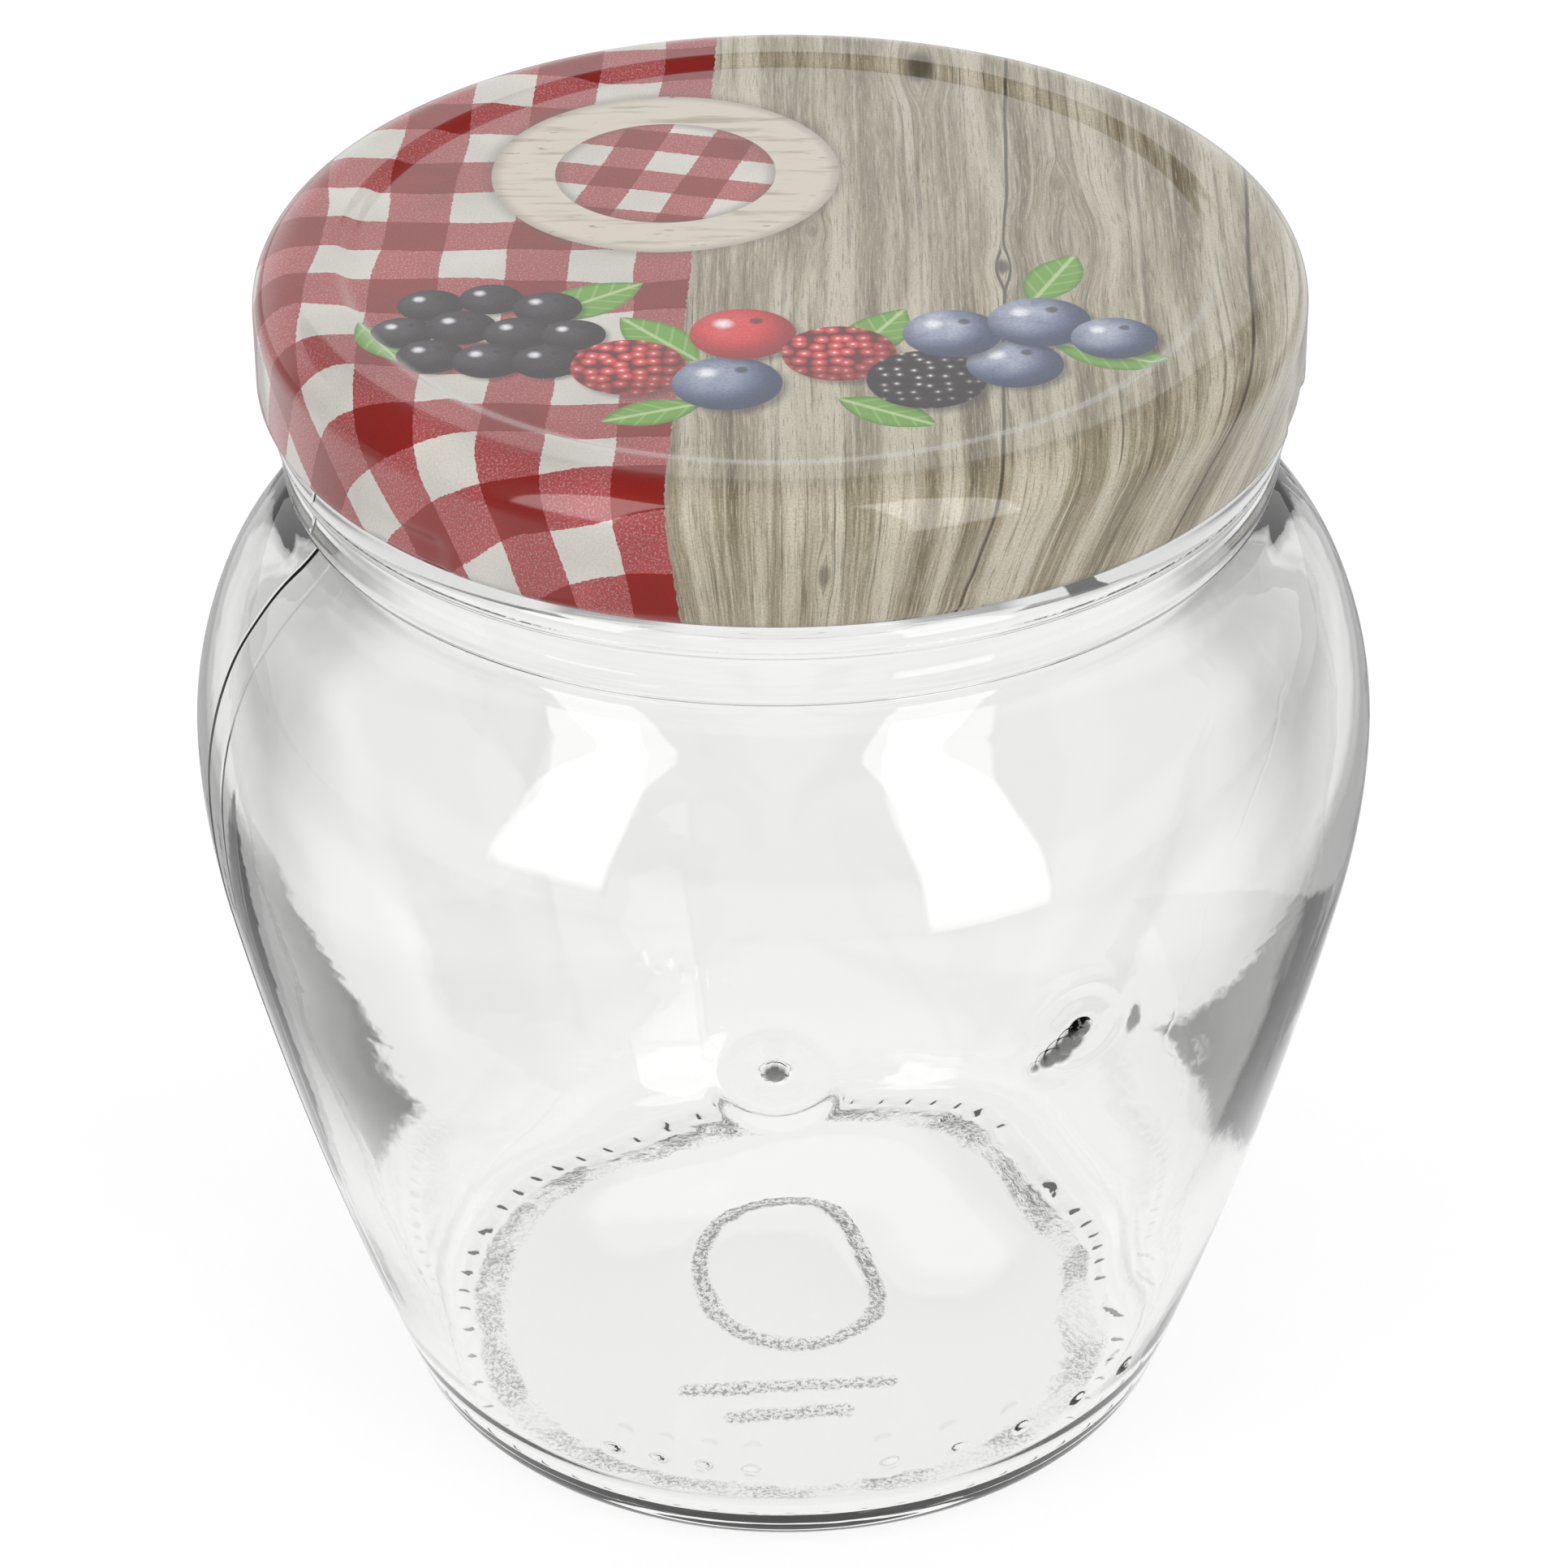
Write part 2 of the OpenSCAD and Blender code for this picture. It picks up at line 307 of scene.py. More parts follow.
def make_mesh(name, places, four_corners, three_corners):
    """An object from vertex places and arrays of four-cornered and three-cornered faces."""
    corners = np.concatenate([four_corners.ravel(), three_corners.ravel()])
    totals = np.repeat([4, 3], [len(four_corners), len(three_corners)])
    starts = np.concatenate([[0], np.cumsum(totals)[:-1]])
    mesh = bpy.data.meshes.new(name)
    mesh.vertices.add(len(places))
    mesh.vertices.foreach_set("co", places.astype(np.float32).ravel())
    mesh.loops.add(len(corners))
    mesh.loops.foreach_set("vertex_index", corners.astype(np.int32))
    mesh.polygons.add(len(totals))
    mesh.polygons.foreach_set("loop_start", starts.astype(np.int32))
    mesh.polygons.foreach_set("loop_total", totals.astype(np.int32))
    mesh.polygons.foreach_set("use_smooth", np.ones(len(totals), bool))
    mesh.update(calc_edges=True)
    if mesh.validate():
        raise ValueError(f"{name}: the rings don't make a sound mesh")
    piece = bpy.data.objects.new(name, mesh)
    bpy.context.scene.collection.objects.link(piece)
    return piece


SEAMS_AT = ((-74.0, 0.1 * MM), (106.0, 0.015 * MM))
COLUMNS_FROM = -110.0
COLUMN_STEPS = ((-77, 1.9), (-71, 0.24), (-34, 1.9), (62, 0.5), (103, 1.9), (109, 0.24), (250, 1.9))


def finer_columns():
    """Angles round the axis, closer together at the seams and where the pips and dots are."""
    parts, begin = [], COLUMNS_FROM
    for finish, step in COLUMN_STEPS:
        count = round((finish - begin) / step)
        parts.append(np.linspace(begin, finish, count, endpoint=False))
        begin = finish
    return np.sort((FRONT + np.concatenate(parts)) % 360)


# Glass jar


def wall_turn(shape, drop, inset, corner):
    """Heading where the long wall arc meets a corner arc that ends drop below the belly."""
    low, wall = shape.low_belly_arc - inset, shape.wall_arc - inset
    rise = drop - corner + (wall - low) * math.sin(math.radians(LOW_BELLY_TURN))
    return math.degrees(math.asin(rise / (wall - corner)))


LOW_BELLY_TURN = 11.9
HIGH_BELLY_TURN = 23.3
SHOULDER_TURN = 34.4
SLOPE_TURN = 43.0
STEEP_TURN = 37.5
HOLLOW_TURN = 50.0
HOLLOW_END = 34.0
TIGHT_HOLLOW = 0.9 * MM
FLARE_TURN = -80.0
BEAD_ARC = 1.6 * MM
BEAD_Z = 94.9 * MM
BEAD_END_TURN = 80.0
RIM_ARC = 1.1 * MM
UNDER_ARC = 8.0 * MM
UNDER_TURN = -100.0
UNDER_EXTRA = 0.9 * MM
UNDER_BELOW = 3.8 * MM
FACING_DOWN = -0.5
FLOOR_EXTRA = 0.7 * MM


def body_below(shape, inset, corner, bottom):
    """Outline from the belly down to a corner arc that ends flat at height bottom."""
    turn = wall_turn(shape, shape.belly_z - bottom, inset, corner)
    return chain(
        (shape.belly_r - inset, shape.belly_z),
        (shape.low_belly_arc - inset, 0, -LOW_BELLY_TURN),
        (shape.wall_arc - inset, -LOW_BELLY_TURN, -turn),
        (corner, -turn, -90),
    )


def above_belly(shape, inset, *steps):
    """Outline from the belly up over the shoulder, and on by more steps."""
    return chain(
        (shape.belly_r - inset, shape.belly_z),
        (shape.high_belly_arc - inset, 0, HIGH_BELLY_TURN),
        (shape.shoulder_arc - inset, HIGH_BELLY_TURN, SHOULDER_TURN),
        *steps,
    )


def inner_shoulder(shape):
    """Outline of the inner skin from the belly up to where the wall stands straight."""
    return above_belly(
        shape,
        shape.wall_t,
        (shape.slope_arc - shape.wall_t, SHOULDER_TURN, SLOPE_TURN),
        (-shape.waist_arc - shape.wall_t, SLOPE_TURN, 0),
    )


def outer_shoulder(shape):
    """Outline of the outer skin from the belly up to the step below the neck ring: the slope
    steepens, runs into a wide hollow, turns outwards in a tight one, and rounds up to the step."""
    lower = above_belly(
        shape,
        0,
        (shape.slope_arc, SHOULDER_TURN, STEEP_TURN),
        (shape.steep_arc, STEEP_TURN, HOLLOW_TURN),
        (-shape.neck_hollow, HOLLOW_TURN, HOLLOW_END),
        (-TIGHT_HOLLOW, HOLLOW_END, FLARE_TURN),
    )
    flare = (shape.step_r - lower[-1][0]) / (1 - math.cos(math.radians(FLARE_TURN)))
    return np.concatenate([lower, chain(lower[-1], (flare, FLARE_TURN, 0))[1:]])


def pushed_up(shape, edge, extra):
    """Outline of a base from its edge to the axis: its height rises as half a cosine."""
    out = edge[0] * np.linspace(1, 0, 41)[1:]
    up = edge[1] + (shape.push_up + extra) * (1 + np.cos(np.pi * out / edge[0])) / 2
    return np.stack([out, up], axis=1)


def neck_outline(shape, step, bore):
    """Outline from the step up: the round ring, the neck, the rim and the edge of the bore."""
    bead_turn = -math.degrees(math.acos((shape.step_r - shape.bead_r + BEAD_ARC) / BEAD_ARC))
    lower = chain(
        step,
        (shape.step_r, BEAD_Z + BEAD_ARC * math.sin(math.radians(bead_turn))),
        (BEAD_ARC, bead_turn, BEAD_END_TURN),
    )
    fillet = (lower[-1][0] - shape.neck_r) / (1 - math.cos(math.radians(BEAD_END_TURN)))
    upper = chain(
        lower[-1],
        (-fillet, BEAD_END_TURN, 0),
        (shape.neck_r, shape.rim_z - RIM_ARC),
        (RIM_ARC, 0, 90),
        (bore + RIM_ARC, shape.rim_z),
        (RIM_ARC, 90, 180),
    )
    return np.concatenate([lower, upper[1:]])


def jar_outline(shape):
    """The whole outline of the glass: under the base from the middle out, up the outer skin, over
    the rim, and down the inner skin to the middle of the floor. Returns its parts' ends too."""
    outer_low = body_below(shape, 0, shape.heel_arc, 0)
    outer_high = outer_shoulder(shape)
    inner_low = body_below(shape, shape.wall_t, shape.floor_arc, shape.floor_z)
    inner_high = inner_shoulder(shape)
    bearing_in = (outer_low[-1][0] - shape.bearing_w, 0)
    under = chain(bearing_in, (UNDER_ARC, -90, UNDER_TURN), (-UNDER_ARC, UNDER_TURN, -90))
    under = np.concatenate([under, pushed_up(shape, under[-1], UNDER_EXTRA)])
    parts = [
        under[::-1],
        outer_low[::-1],
        outer_high[1:],
        neck_outline(shape, outer_high[-1], inner_high[-1][0])[1:],
        inner_high[::-1],
        inner_low[1:],
        pushed_up(shape, inner_low[-1], FLOOR_EXTRA),
    ]
    marks = np.cumsum([len(part) for part in parts])
    return np.concatenate(parts), marks


def bump(distance, radius):
    """1 in the middle of a round bump and 0 at its radius: a squared cosine of the distance."""
    return np.cos(np.pi / 2 * np.clip(distance / radius, 0, 1)) ** 2


PIP_Z = 61 * MM
PIP_R = 1.0 * MM
PIP_PROUD = 0.29 * MM
PIP_DEGREES = (-1, 28)
RIPPLE_R = 4.5 * MM
RIPPLE_W = 1.5 * MM
RIPPLE_DEPTH = 0.09 * MM
DOT_Z = 11 * MM
DOT_R = 0.75 * MM
DOT_PROUD = 0.28 * MM
DOT_DEGREES = [-23.6 + 6.2 * i for i in range(4)] + [13.3 + 9.5 * i for i in range(5)]


def across_skin(out, degrees, centre):
    """Distance round the skin from an angle, which is counted from the front."""
    return out * np.radians(around(degrees - FRONT - centre))


def bosses(out, up, degrees, centres, height, radius, proud):
    """Round bosses on the skin at one height: a low dome about each centre, as the root of 1
    less the square of the distance."""
    relief = np.zeros(degrees.shape)
    for centre in centres:
        reach = np.hypot(across_skin(out, degrees, centre), up - height) / radius
        relief += proud * np.sqrt(np.clip(1 - reach**2, 0, None))
    return relief


def pip_ripple(out, up, degrees):
    """A shallow round furrow about each pip, as the mould leaves it."""
    relief = np.zeros(degrees.shape)
    for centre in PIP_DEGREES:
        ring = np.abs(np.hypot(across_skin(out, degrees, centre), up - PIP_Z) - RIPPLE_R)
        relief -= RIPPLE_DEPTH * bump(ring, RIPPLE_W)
    return relief


def waves(degrees, along, seed, count=14):
    """Slow swells of blown glass from -1 to 1: a sum of cosines of the angle and the distance
    along the wall, with whole numbers of periods round the axis."""
    draw = np.random.default_rng(seed)
    total = np.zeros(np.broadcast_shapes(degrees.shape, along.shape))
    for turns, pitch, phase in zip(
        draw.integers(1, 9, count), draw.uniform(18, 60, count) * MM, draw.uniform(0, 6.28, count)
    ):
        total += np.cos(turns * np.radians(degrees) + 2 * np.pi * along / pitch + phase)
    return total / math.sqrt(count)


SEAM_W = 0.32 * MM
SEAM_FADE = 4 * MM


def mould_seams(out, up, degrees, low, high):
    """Fine ridges down both flanks, where the halves of the mould met."""
    relief = np.zeros(degrees.shape)
    for seam, proud in SEAMS_AT:
        relief += proud * bump(np.abs(across_skin(out, degrees, seam)), SEAM_W)
    return relief * smooth(up, low, low + SEAM_FADE) * (1 - smooth(up, high - SEAM_FADE, high))


THREAD_BACK = 12.0
THREAD_AHEAD = 50.0
THREAD_CLEAR = 0.3 * MM
LUG_H = 1.6 * MM
LUG_FIRST = 47.0
LUG_LIFT = 0.2 * MM
SEAL_STACK = 1.3 * MM


def lug_height(shape):
    """Height of the middle of the lugs when the lid is shut."""
    top = settings().jar.rim_z + SEAL_STACK
    return top - shape.lid_h + shape.curl_arc + LUG_LIFT


def screw_lead(jar, lid):
    """How far the lid rises in one full turn."""
    return lid.starts * (jar.thread_h + LUG_H + 2 * THREAD_CLEAR)


def threads(out, up, degrees):
    """Thread starts on the neck: round ridges along tilted arcs. Across the ridge the skin lies
    on a circle round the ridge's line, and past its ends on a ball."""
    jar, lid = settings().jar, settings().lid
    tilt = math.atan(screw_lead(jar, lid) / (2 * math.pi * jar.thread_r))
    core = jar.thread_r - jar.thread_h / 2
    middle = (THREAD_AHEAD - THREAD_BACK) / 2
    half = (THREAD_AHEAD + THREAD_BACK) / 2
    level = lug_height(lid) + (LUG_H + jar.thread_h) / 2 + THREAD_CLEAR
    level += screw_lead(jar, lid) * middle / 360
    relief = np.zeros(degrees.shape)
    for start in range(lid.starts):
        turn = around(degrees - LUG_FIRST - middle - 360 * start / lid.starts)
        line = level + core * math.tan(tilt) * np.sin(np.radians(np.clip(turn, -half, half)))
        past = core * np.radians(np.clip(np.abs(turn) - half, 0, None))
        reach = (jar.thread_h / 2) ** 2 - (up - line) ** 2 - past**2
        relief = np.maximum(relief, core + np.sqrt(np.clip(reach, 0, None)) - out)
    return np.where(relief > 0, relief, 0)


NOTCH_R = 0.55 * MM
NOTCH_DEPTH = 0.24 * MM
NOTCH_INSET = 0.6 * MM


def notch_lift(shape, out, degrees, bearing_in):
    """How high the notches cut into the standing ring: round grooves that run outwards."""
    pitch = 360 / shape.knurls
    across = out * np.radians((degrees + pitch / 2) % pitch - pitch / 2)
    groove = NOTCH_DEPTH - NOTCH_R + np.sqrt(np.clip(NOTCH_R**2 - across**2, 0, None))
    return np.where(out > bearing_in + NOTCH_INSET, np.clip(groove, 0, None), 0)


STIPPLE_IN = 25.6 * MM
STIPPLE_OUT = 29.4 * MM
STIPPLE_PROUD = 0.06 * MM
STIPPLE_FADE = 0.6 * MM


def stipple(out, degrees):
    """Rough frosting inside the standing ring: each vertex is raised by its own drawn height."""
    draw = np.random.default_rng(5)
    rough = draw.uniform(-1, 1, degrees.shape)
    window = smooth(out, STIPPLE_IN, STIPPLE_IN + STIPPLE_FADE)
    window = window * (1 - smooth(out, STIPPLE_OUT - STIPPLE_FADE, STIPPLE_OUT))
    return STIPPLE_PROUD * rough * window


MARK_RING_R = 7.5 * MM
MARK_R = 0.95 * MM
MARK_PROUD = 0.1 * MM
MARK_BARS = ((13 * MM, 9 * MM), (16.5 * MM, 5 * MM))


def base_marks(out, degrees):
    """Plain raised marks under the base: a ring and two bars, low and round in section."""
    x, y = out * np.cos(np.radians(degrees)), out * np.sin(np.radians(degrees))
    away = np.abs(out - MARK_RING_R) * np.ones(degrees.shape)
    for front, half in MARK_BARS:
        away = np.minimum(away, np.hypot(np.clip(np.abs(x) - half, 0, None), y + front))
    return MARK_PROUD * bump(away, MARK_R)


# Rows of the glass in millimetres: the radius or height of each stop, and the step up to it.
UNDER_FIRST = 1.5 * MM
UNDER_ROWS = ((6.5, 1.2), (8.5, 0.33), (12, 1.2), (17.5, 0.45), (25.2, 1.2))
STAND_FIRST = 25.5 * MM
STAND_EDGE = ((29.3, 0.4),)
STAND_ROWS = ((1.2, 0.26), (2.4, 0.5))
BODY_FIRST = 2.9 * MM
DOT_ROWS = ((9.8, 1.0), (12.2, 0.27))
PIP_ROWS = ((54.5, 1.7), (59.2, 0.55), (62.8, 0.3), (67.5, 0.55))
SEAM_SPAN = (6 * MM, 92 * MM)
NECK_ROW = 96 * MM
NECK_FIRST = 96.2 * MM
THREADS_END = 4 * MM
INNER_LAST = 2 * MM


def build_glass(shape):
    """The jar's skin in five bands, each with as many columns as its reliefs need."""
    outline, marks = jar_outline(shape)
    travel = distances(outline)
    high_end, neck_end = travel[marks[2:4] - 1]
    bearing_in = outline[marks[0] - 1][0]

    def under_at(radius):
        part = slice(0, marks[0])
        return np.interp(radius, outline[part, 0], travel[part])

    def outer_at(height):
        part = slice(marks[0] + 4, marks[3] - 60)
        return np.interp(height, outline[part, 1], travel[part])

    def stops(find, listed):
        return [(find(stop * MM), step * MM) for stop, step in listed]

    def band(degrees, rows, relief):
        return degrees, ring_points(take_rows(outline, rows), degrees, relief)

    under = band(
        even(240),
        [UNDER_FIRST, *stops(under_at, UNDER_ROWS)],
        lambda out, up, degrees, along: base_marks(out, degrees),
    )
    bearing = even(9 * shape.knurls)
    rows = [under_at(STAND_FIRST), *stops(under_at, STAND_EDGE), *stops(outer_at, STAND_ROWS)]
    rows = take_rows(outline, rows)
    points = ring_points(rows, bearing, lambda out, up, degrees, along: stipple(out, degrees))
    lift = notch_lift(shape, rows[1][:, :1], bearing[None, :], bearing_in)
    points[..., 2] = np.maximum(points[..., 2], lift)
    body_rows = [outer_at(BODY_FIRST), *stops(outer_at, DOT_ROWS + PIP_ROWS)]
    body = band(
        finer_columns(),
        [*body_rows, (high_end, 0.9 * MM), (outer_at(NECK_ROW), 0.34 * MM)],
        lambda out, up, degrees, along: (
            bosses(out, up, degrees, DOT_DEGREES, DOT_Z, DOT_R, DOT_PROUD)
            + bosses(out, up, degrees, PIP_DEGREES, PIP_Z, PIP_R, PIP_PROUD)
            + pip_ripple(out, up, degrees)
            + mould_seams(out, up, degrees, *SEAM_SPAN)
        ),
    )
    neck = band(
        even(300),
        [outer_at(NECK_FIRST), (neck_end, 0.25 * MM)],
        lambda out, up, degrees, along: np.where(
            along < neck_end - THREADS_END, threads(out, up, degrees), 0
        ),
    )
    last = travel[-1]
    inside = band(
        even(160),
        [neck_end + 0.5 * MM, (last - INNER_LAST, 2.1 * MM)],
        lambda out, up, degrees, along: (
            shape.wave
            * waves(degrees, along, 11)
            * (0.2 + 0.8 * np.sin(np.radians(degrees)) ** 2)
            * smooth(along, neck_end + 14 * MM, neck_end + 30 * MM)
            * (1 - smooth(along, last - 26 * MM, last - 16 * MM))
        ),
    )
    bands = (under, (bearing, points), body, neck, inside)
    return skin_mesh("jar_glass", bands, (outline[0][1], outline[-1][1]))


# Lid

PRINT_REACH = 55 * MM


def lid_crown(shape, top, inset):
    """Outline of the lid's crown at an inset from its outer skin, from the middle out."""
    turn = math.degrees(2 * math.atan(shape.panel_drop / shape.panel_rise_w))
    rise = shape.panel_rise_w / (2 * math.sin(math.radians(turn)))
    return chain(
        (0, top - shape.panel_drop - inset),
        (shape.panel_r, top - shape.panel_drop - inset),
        (-rise - inset, 90, 90 + turn),
        (rise - inset, 90 + turn, 90),
        (shape.lid_r - shape.lid_arc, top - inset),
        (shape.lid_arc - inset, 90, 0),
    )


def lid_outline(shape, top):
    """Outline of the sheet: the crown from the middle out, down the skirt, round the curled edge
    to the sheet's end, back along the curl's inside and up under the crown to the middle."""
    bottom = top - shape.lid_h
    curl, sheet = shape.curl_arc, shape.sheet_t
    outer = lid_crown(shape, top, 0)
    edge = chain(
        (shape.lid_r, bottom + curl),
        (curl, 0, -270),
        (shape.lid_r - curl, bottom + 2 * curl - sheet),
        (curl - sheet, -270, 0),
    )
    inner = lid_crown(shape, top, sheet)[::-1]
    return np.concatenate([outer, edge, inner]), (len(outer), len(outer) + len(edge))


def lug_window(shape, degrees):
    """1 over each lug and 0 between lugs, and each column's angle from its nearest lug."""
    pitch = 360 / shape.starts
    off = (degrees - LUG_FIRST + pitch / 2) % pitch - pitch / 2
    half = math.degrees(shape.lug_span) / 2
    return 1 - smooth(np.abs(off), half - 1, half + 1), off


DENT_RISE = 0.9 * MM
DENT_R = 1.7 * MM
SKIRT_BAND = 0.4 * MM


def shape_lugs(shape, points, degrees, on_curl):
    """Draws the curl in to each lug, climbing with the screw, and dents the skirt above it.
    on_curl is 1 on the rows of the curled edge, whose inner half reaches furthest."""
    out = np.hypot(points[..., 0], points[..., 1])
    up = points[..., 2]
    window, off = lug_window(shape, degrees[None, :])
    inner = np.clip((shape.lid_r - 0.5 * shape.curl_arc - out) / (1.5 * shape.curl_arc), 0, 1)
    reach = (shape.lid_r - 2 * shape.curl_arc - shape.lug_tip_r) * inner * on_curl
    level = lug_height(shape)
    dent = shape.dent * bump(up - level - DENT_RISE, DENT_R)
    drawn = window * np.maximum(reach, dent * (out > shape.lid_r - SKIRT_BAND))
    climb = screw_lead(settings().jar, shape) * off / 360 * window * inner * on_curl
    scale = (out - drawn) / np.maximum(out, 1e-9)
    return np.stack([points[..., 0] * scale, points[..., 1] * scale, up + climb], axis=-1)


PANEL_END = 0.3 * MM
LID_COLUMNS = 360


def build_lid(shape):
    """The lid's sheet in two bands: print side and curled edge, then the inside. Returns it, and
    the last of its printed vertices."""
    outline, (crown_end, edge_end) = lid_outline(shape, settings().jar.rim_z + SEAL_STACK)
    travel = distances(outline)
    skirt, sheet_end, last = travel[crown_end], travel[edge_end - 1], travel[-1]
    flat_end = shape.panel_r - PANEL_END
    shoulder = shape.lid_r - shape.lid_arc
    columns = even(LID_COLUMNS)

    def band(*stops):
        rows = take_rows(outline, stops)
        plain = ring_points(rows, columns, lambda out, up, degrees, along: 0 * degrees)
        on_curl = (rows[0] > skirt) & (rows[0] <= sheet_end)
        return rows[0], shape_lugs(shape, plain, columns, on_curl[:, None].astype(float))

    along, outside = band(
        2 * MM,
        (flat_end, 4 * MM),
        (flat_end + 3 * MM, 0.14 * MM),
        (shoulder, 0.5 * MM),
        (shoulder + 7 * MM, 0.3 * MM),
        (skirt, 0.4 * MM),
        (sheet_end, 0.22 * MM),
    )
    _, inside = band(
        sheet_end + 0.35 * MM,
        (sheet_end + 14 * MM, 0.4 * MM),
        (last - flat_end, 0.4 * MM),
        (last - 2 * MM, 4 * MM),
    )
    bands = [(columns, outside), (columns, inside)]
    lid = skin_mesh("lid_sheet", bands, (outline[0][1], outline[-1][1]))
    flat = np.concatenate([[0], np.repeat(along, LID_COLUMNS)])
    turns = np.concatenate([[0], np.tile(columns, len(along))])
    map_print(lid, flat[:, None] * heading(turns))
    bottom = skirt + shape.curl_arc * math.pi / 2
    return lid, (int((along <= bottom).sum()) - 1) * LID_COLUMNS


def read(items, name, width=1, kind=np.int32):
    """A property of all vertices, corners or faces of a mesh, as one row each."""
    values = np.empty(len(items) * width, kind)
    items.foreach_get(name, values)
    return values.reshape(-1, width)


def map_print(lid, unrolled):
    """Gives the sheet its print map: the distance from the middle measured along the outer skin,
    in the direction of each column, scaled from 0 to 1 over twice the print's reach."""
    mesh = lid.data
    spread = np.full((len(mesh.vertices), 2), 0.5)
    spread[: len(unrolled)] += unrolled / (2 * PRINT_REACH)
    corners = read(mesh.loops, "vertex_index")[:, 0]
    layer = mesh.uv_layers.new(name="print")
    layer.data.foreach_set("uv", spread[corners].astype(np.float32).ravel())


# Shader building


class Value:
    """An output of a node: a number, a place or a colour that changes over a surface. Arithmetic
    with values adds Math nodes, or Vector Math nodes for places, to their tree."""

    def __init__(self, socket):
        self.socket = socket

    def __add__(self, other):
        return maths("ADD", self, other)

    def __sub__(self, other):
        return maths("SUBTRACT", self, other)

    def __rsub__(self, other):
        return maths("SUBTRACT", other, self)

    def __mul__(self, other):
        return maths("MULTIPLY", self, other)

    def __truediv__(self, other):
        return maths("DIVIDE", self, other)

    def __abs__(self):
        return maths("ABSOLUTE", self)


def outputs(node):
    """A node's outputs, by number and by name."""
    values = [Value(socket) for socket in node.outputs]
    return {**dict(enumerate(values)), **{value.socket.name: value for value in values}}


def put(value, socket):
    """Links a value to a socket, or sets a plain number, place or colour on it."""
    if isinstance(value, Value):
        socket.id_data.links.new(value.socket, socket)
    else:
        socket.default_value = value


def tree_of(*values):
    """The tree that the first linked value lies in."""
    return next(value.socket.id_data for value in values if isinstance(value, Value))


def add(tree, kind, links=None, **properties):
    """A new node of a kind, with its properties set and its inputs set or linked by name or
    number. Returns its outputs."""
    node = tree.nodes.new("ShaderNode" + kind)
    for key, value in properties.items():
        setattr(node, key, value)
    for key, value in (links or {}).items():
        put(value, node.inputs[key])
    return outputs(node)


def maths(operation, *values):
    """The result of a Math node, or of a Vector Math node where the first value is a place."""
    first = next(value for value in values if isinstance(value, Value))
    kind = "VectorMath" if first.socket.type == "VECTOR" else "Math"
    return add(tree_of(first), kind, dict(enumerate(values)), operation=operation)[0]


def apart(a, b=(0, 0, 0)):
    """The distance between two places, or from the middle."""
    return add(tree_of(a), "VectorMath", {0: a, 1: b}, operation="DISTANCE")["Value"]


def split(place):
    """The three parts of a place."""
    parts = add(tree_of(place), "SeparateXYZ", {0: place})
    return parts[0], parts[1], parts[2]


def combine(x, y, z=0.0):
    """A place from its parts."""
    return add(tree_of(x, y, z), "CombineXYZ", {0: x, 1: y, 2: z})[0]


def turned(place, angle):
    """A place turned round the upright axis."""
    links = {"Vector": place, "Angle": angle}
    return add(tree_of(place), "VectorRotate", links, rotation_type="Z_AXIS")[0]


def mix(factor, a, b, mode="MIX"):
    """A mix of two colours."""
    links = {0: factor, 6: a, 7: b}
    return add(tree_of(factor, a, b), "Mix", links, data_type="RGBA", blend_type=mode)[2]


def choose(factor, a, b):
    """A number that is a where the factor is 0 and b where it is 1."""
    return add(tree_of(factor), "Mix", {0: factor, 2: a, 3: b})[0]


def noise(place, scale, detail=2.0, rough=0.5, stretch=(1, 1, 1), shift=(0, 0, 0)):
    """Noise from 0 to 1 over a stretched place."""
    tree = tree_of(place)
    moved = add(tree, "Mapping", {"Vector": place, "Scale": stretch, "Location": shift})[0]
    links = {"Vector": moved, "Scale": scale, "Detail": detail, "Roughness": rough}
    return add(tree, "TexNoise", links)["Fac"]


def remap(value, low, high, to_low=0.0, to_high=1.0, kind="SMOOTHSTEP"):
    """A value remapped from one span to another, held at its ends."""
    links = {"Value": value, "From Min": low, "From Max": high, "To Min": to_low, "To Max": to_high}
    return add(tree_of(value), "MapRange", links, interpolation_type=kind, clamp=True)[0]


def shaded(base, other, value, none, full, share=1.0):
    """A colour that turns into another, up to a share, as a value goes from none to full."""
    return mix(remap(value, none, full, 0, share), base, other)


def toned(base, cloudy, low, high):
    """A colour times a tone that goes from low to high as noise goes from 0.3 to 0.7."""
    tone = remap(cloudy, 0.3, 0.7, low, high, kind="LINEAR")
    return mix(1.0, base, combine(tone, tone, tone), "MULTIPLY")


def raised(height, strength, distance):
    """A normal that a height bends."""
    links = {"Height": height, "Strength": strength, "Distance": distance}
    return add(tree_of(height), "Bump", links)[0]


def rgba(values):
    """A colour with full alpha."""
    return (*values, 1.0)


INPUT_KINDS = {1: "NodeSocketFloat", 3: "NodeSocketVector", 4: "NodeSocketColor"}
OUTPUT_KINDS = {"VALUE": "NodeSocketFloat", "VECTOR": "NodeSocketVector", "RGBA": "NodeSocketColor"}
ORIGIN = (0.0, 0.0, 0.0)
GREY = (0.5, 0.5, 0.5, 1.0)


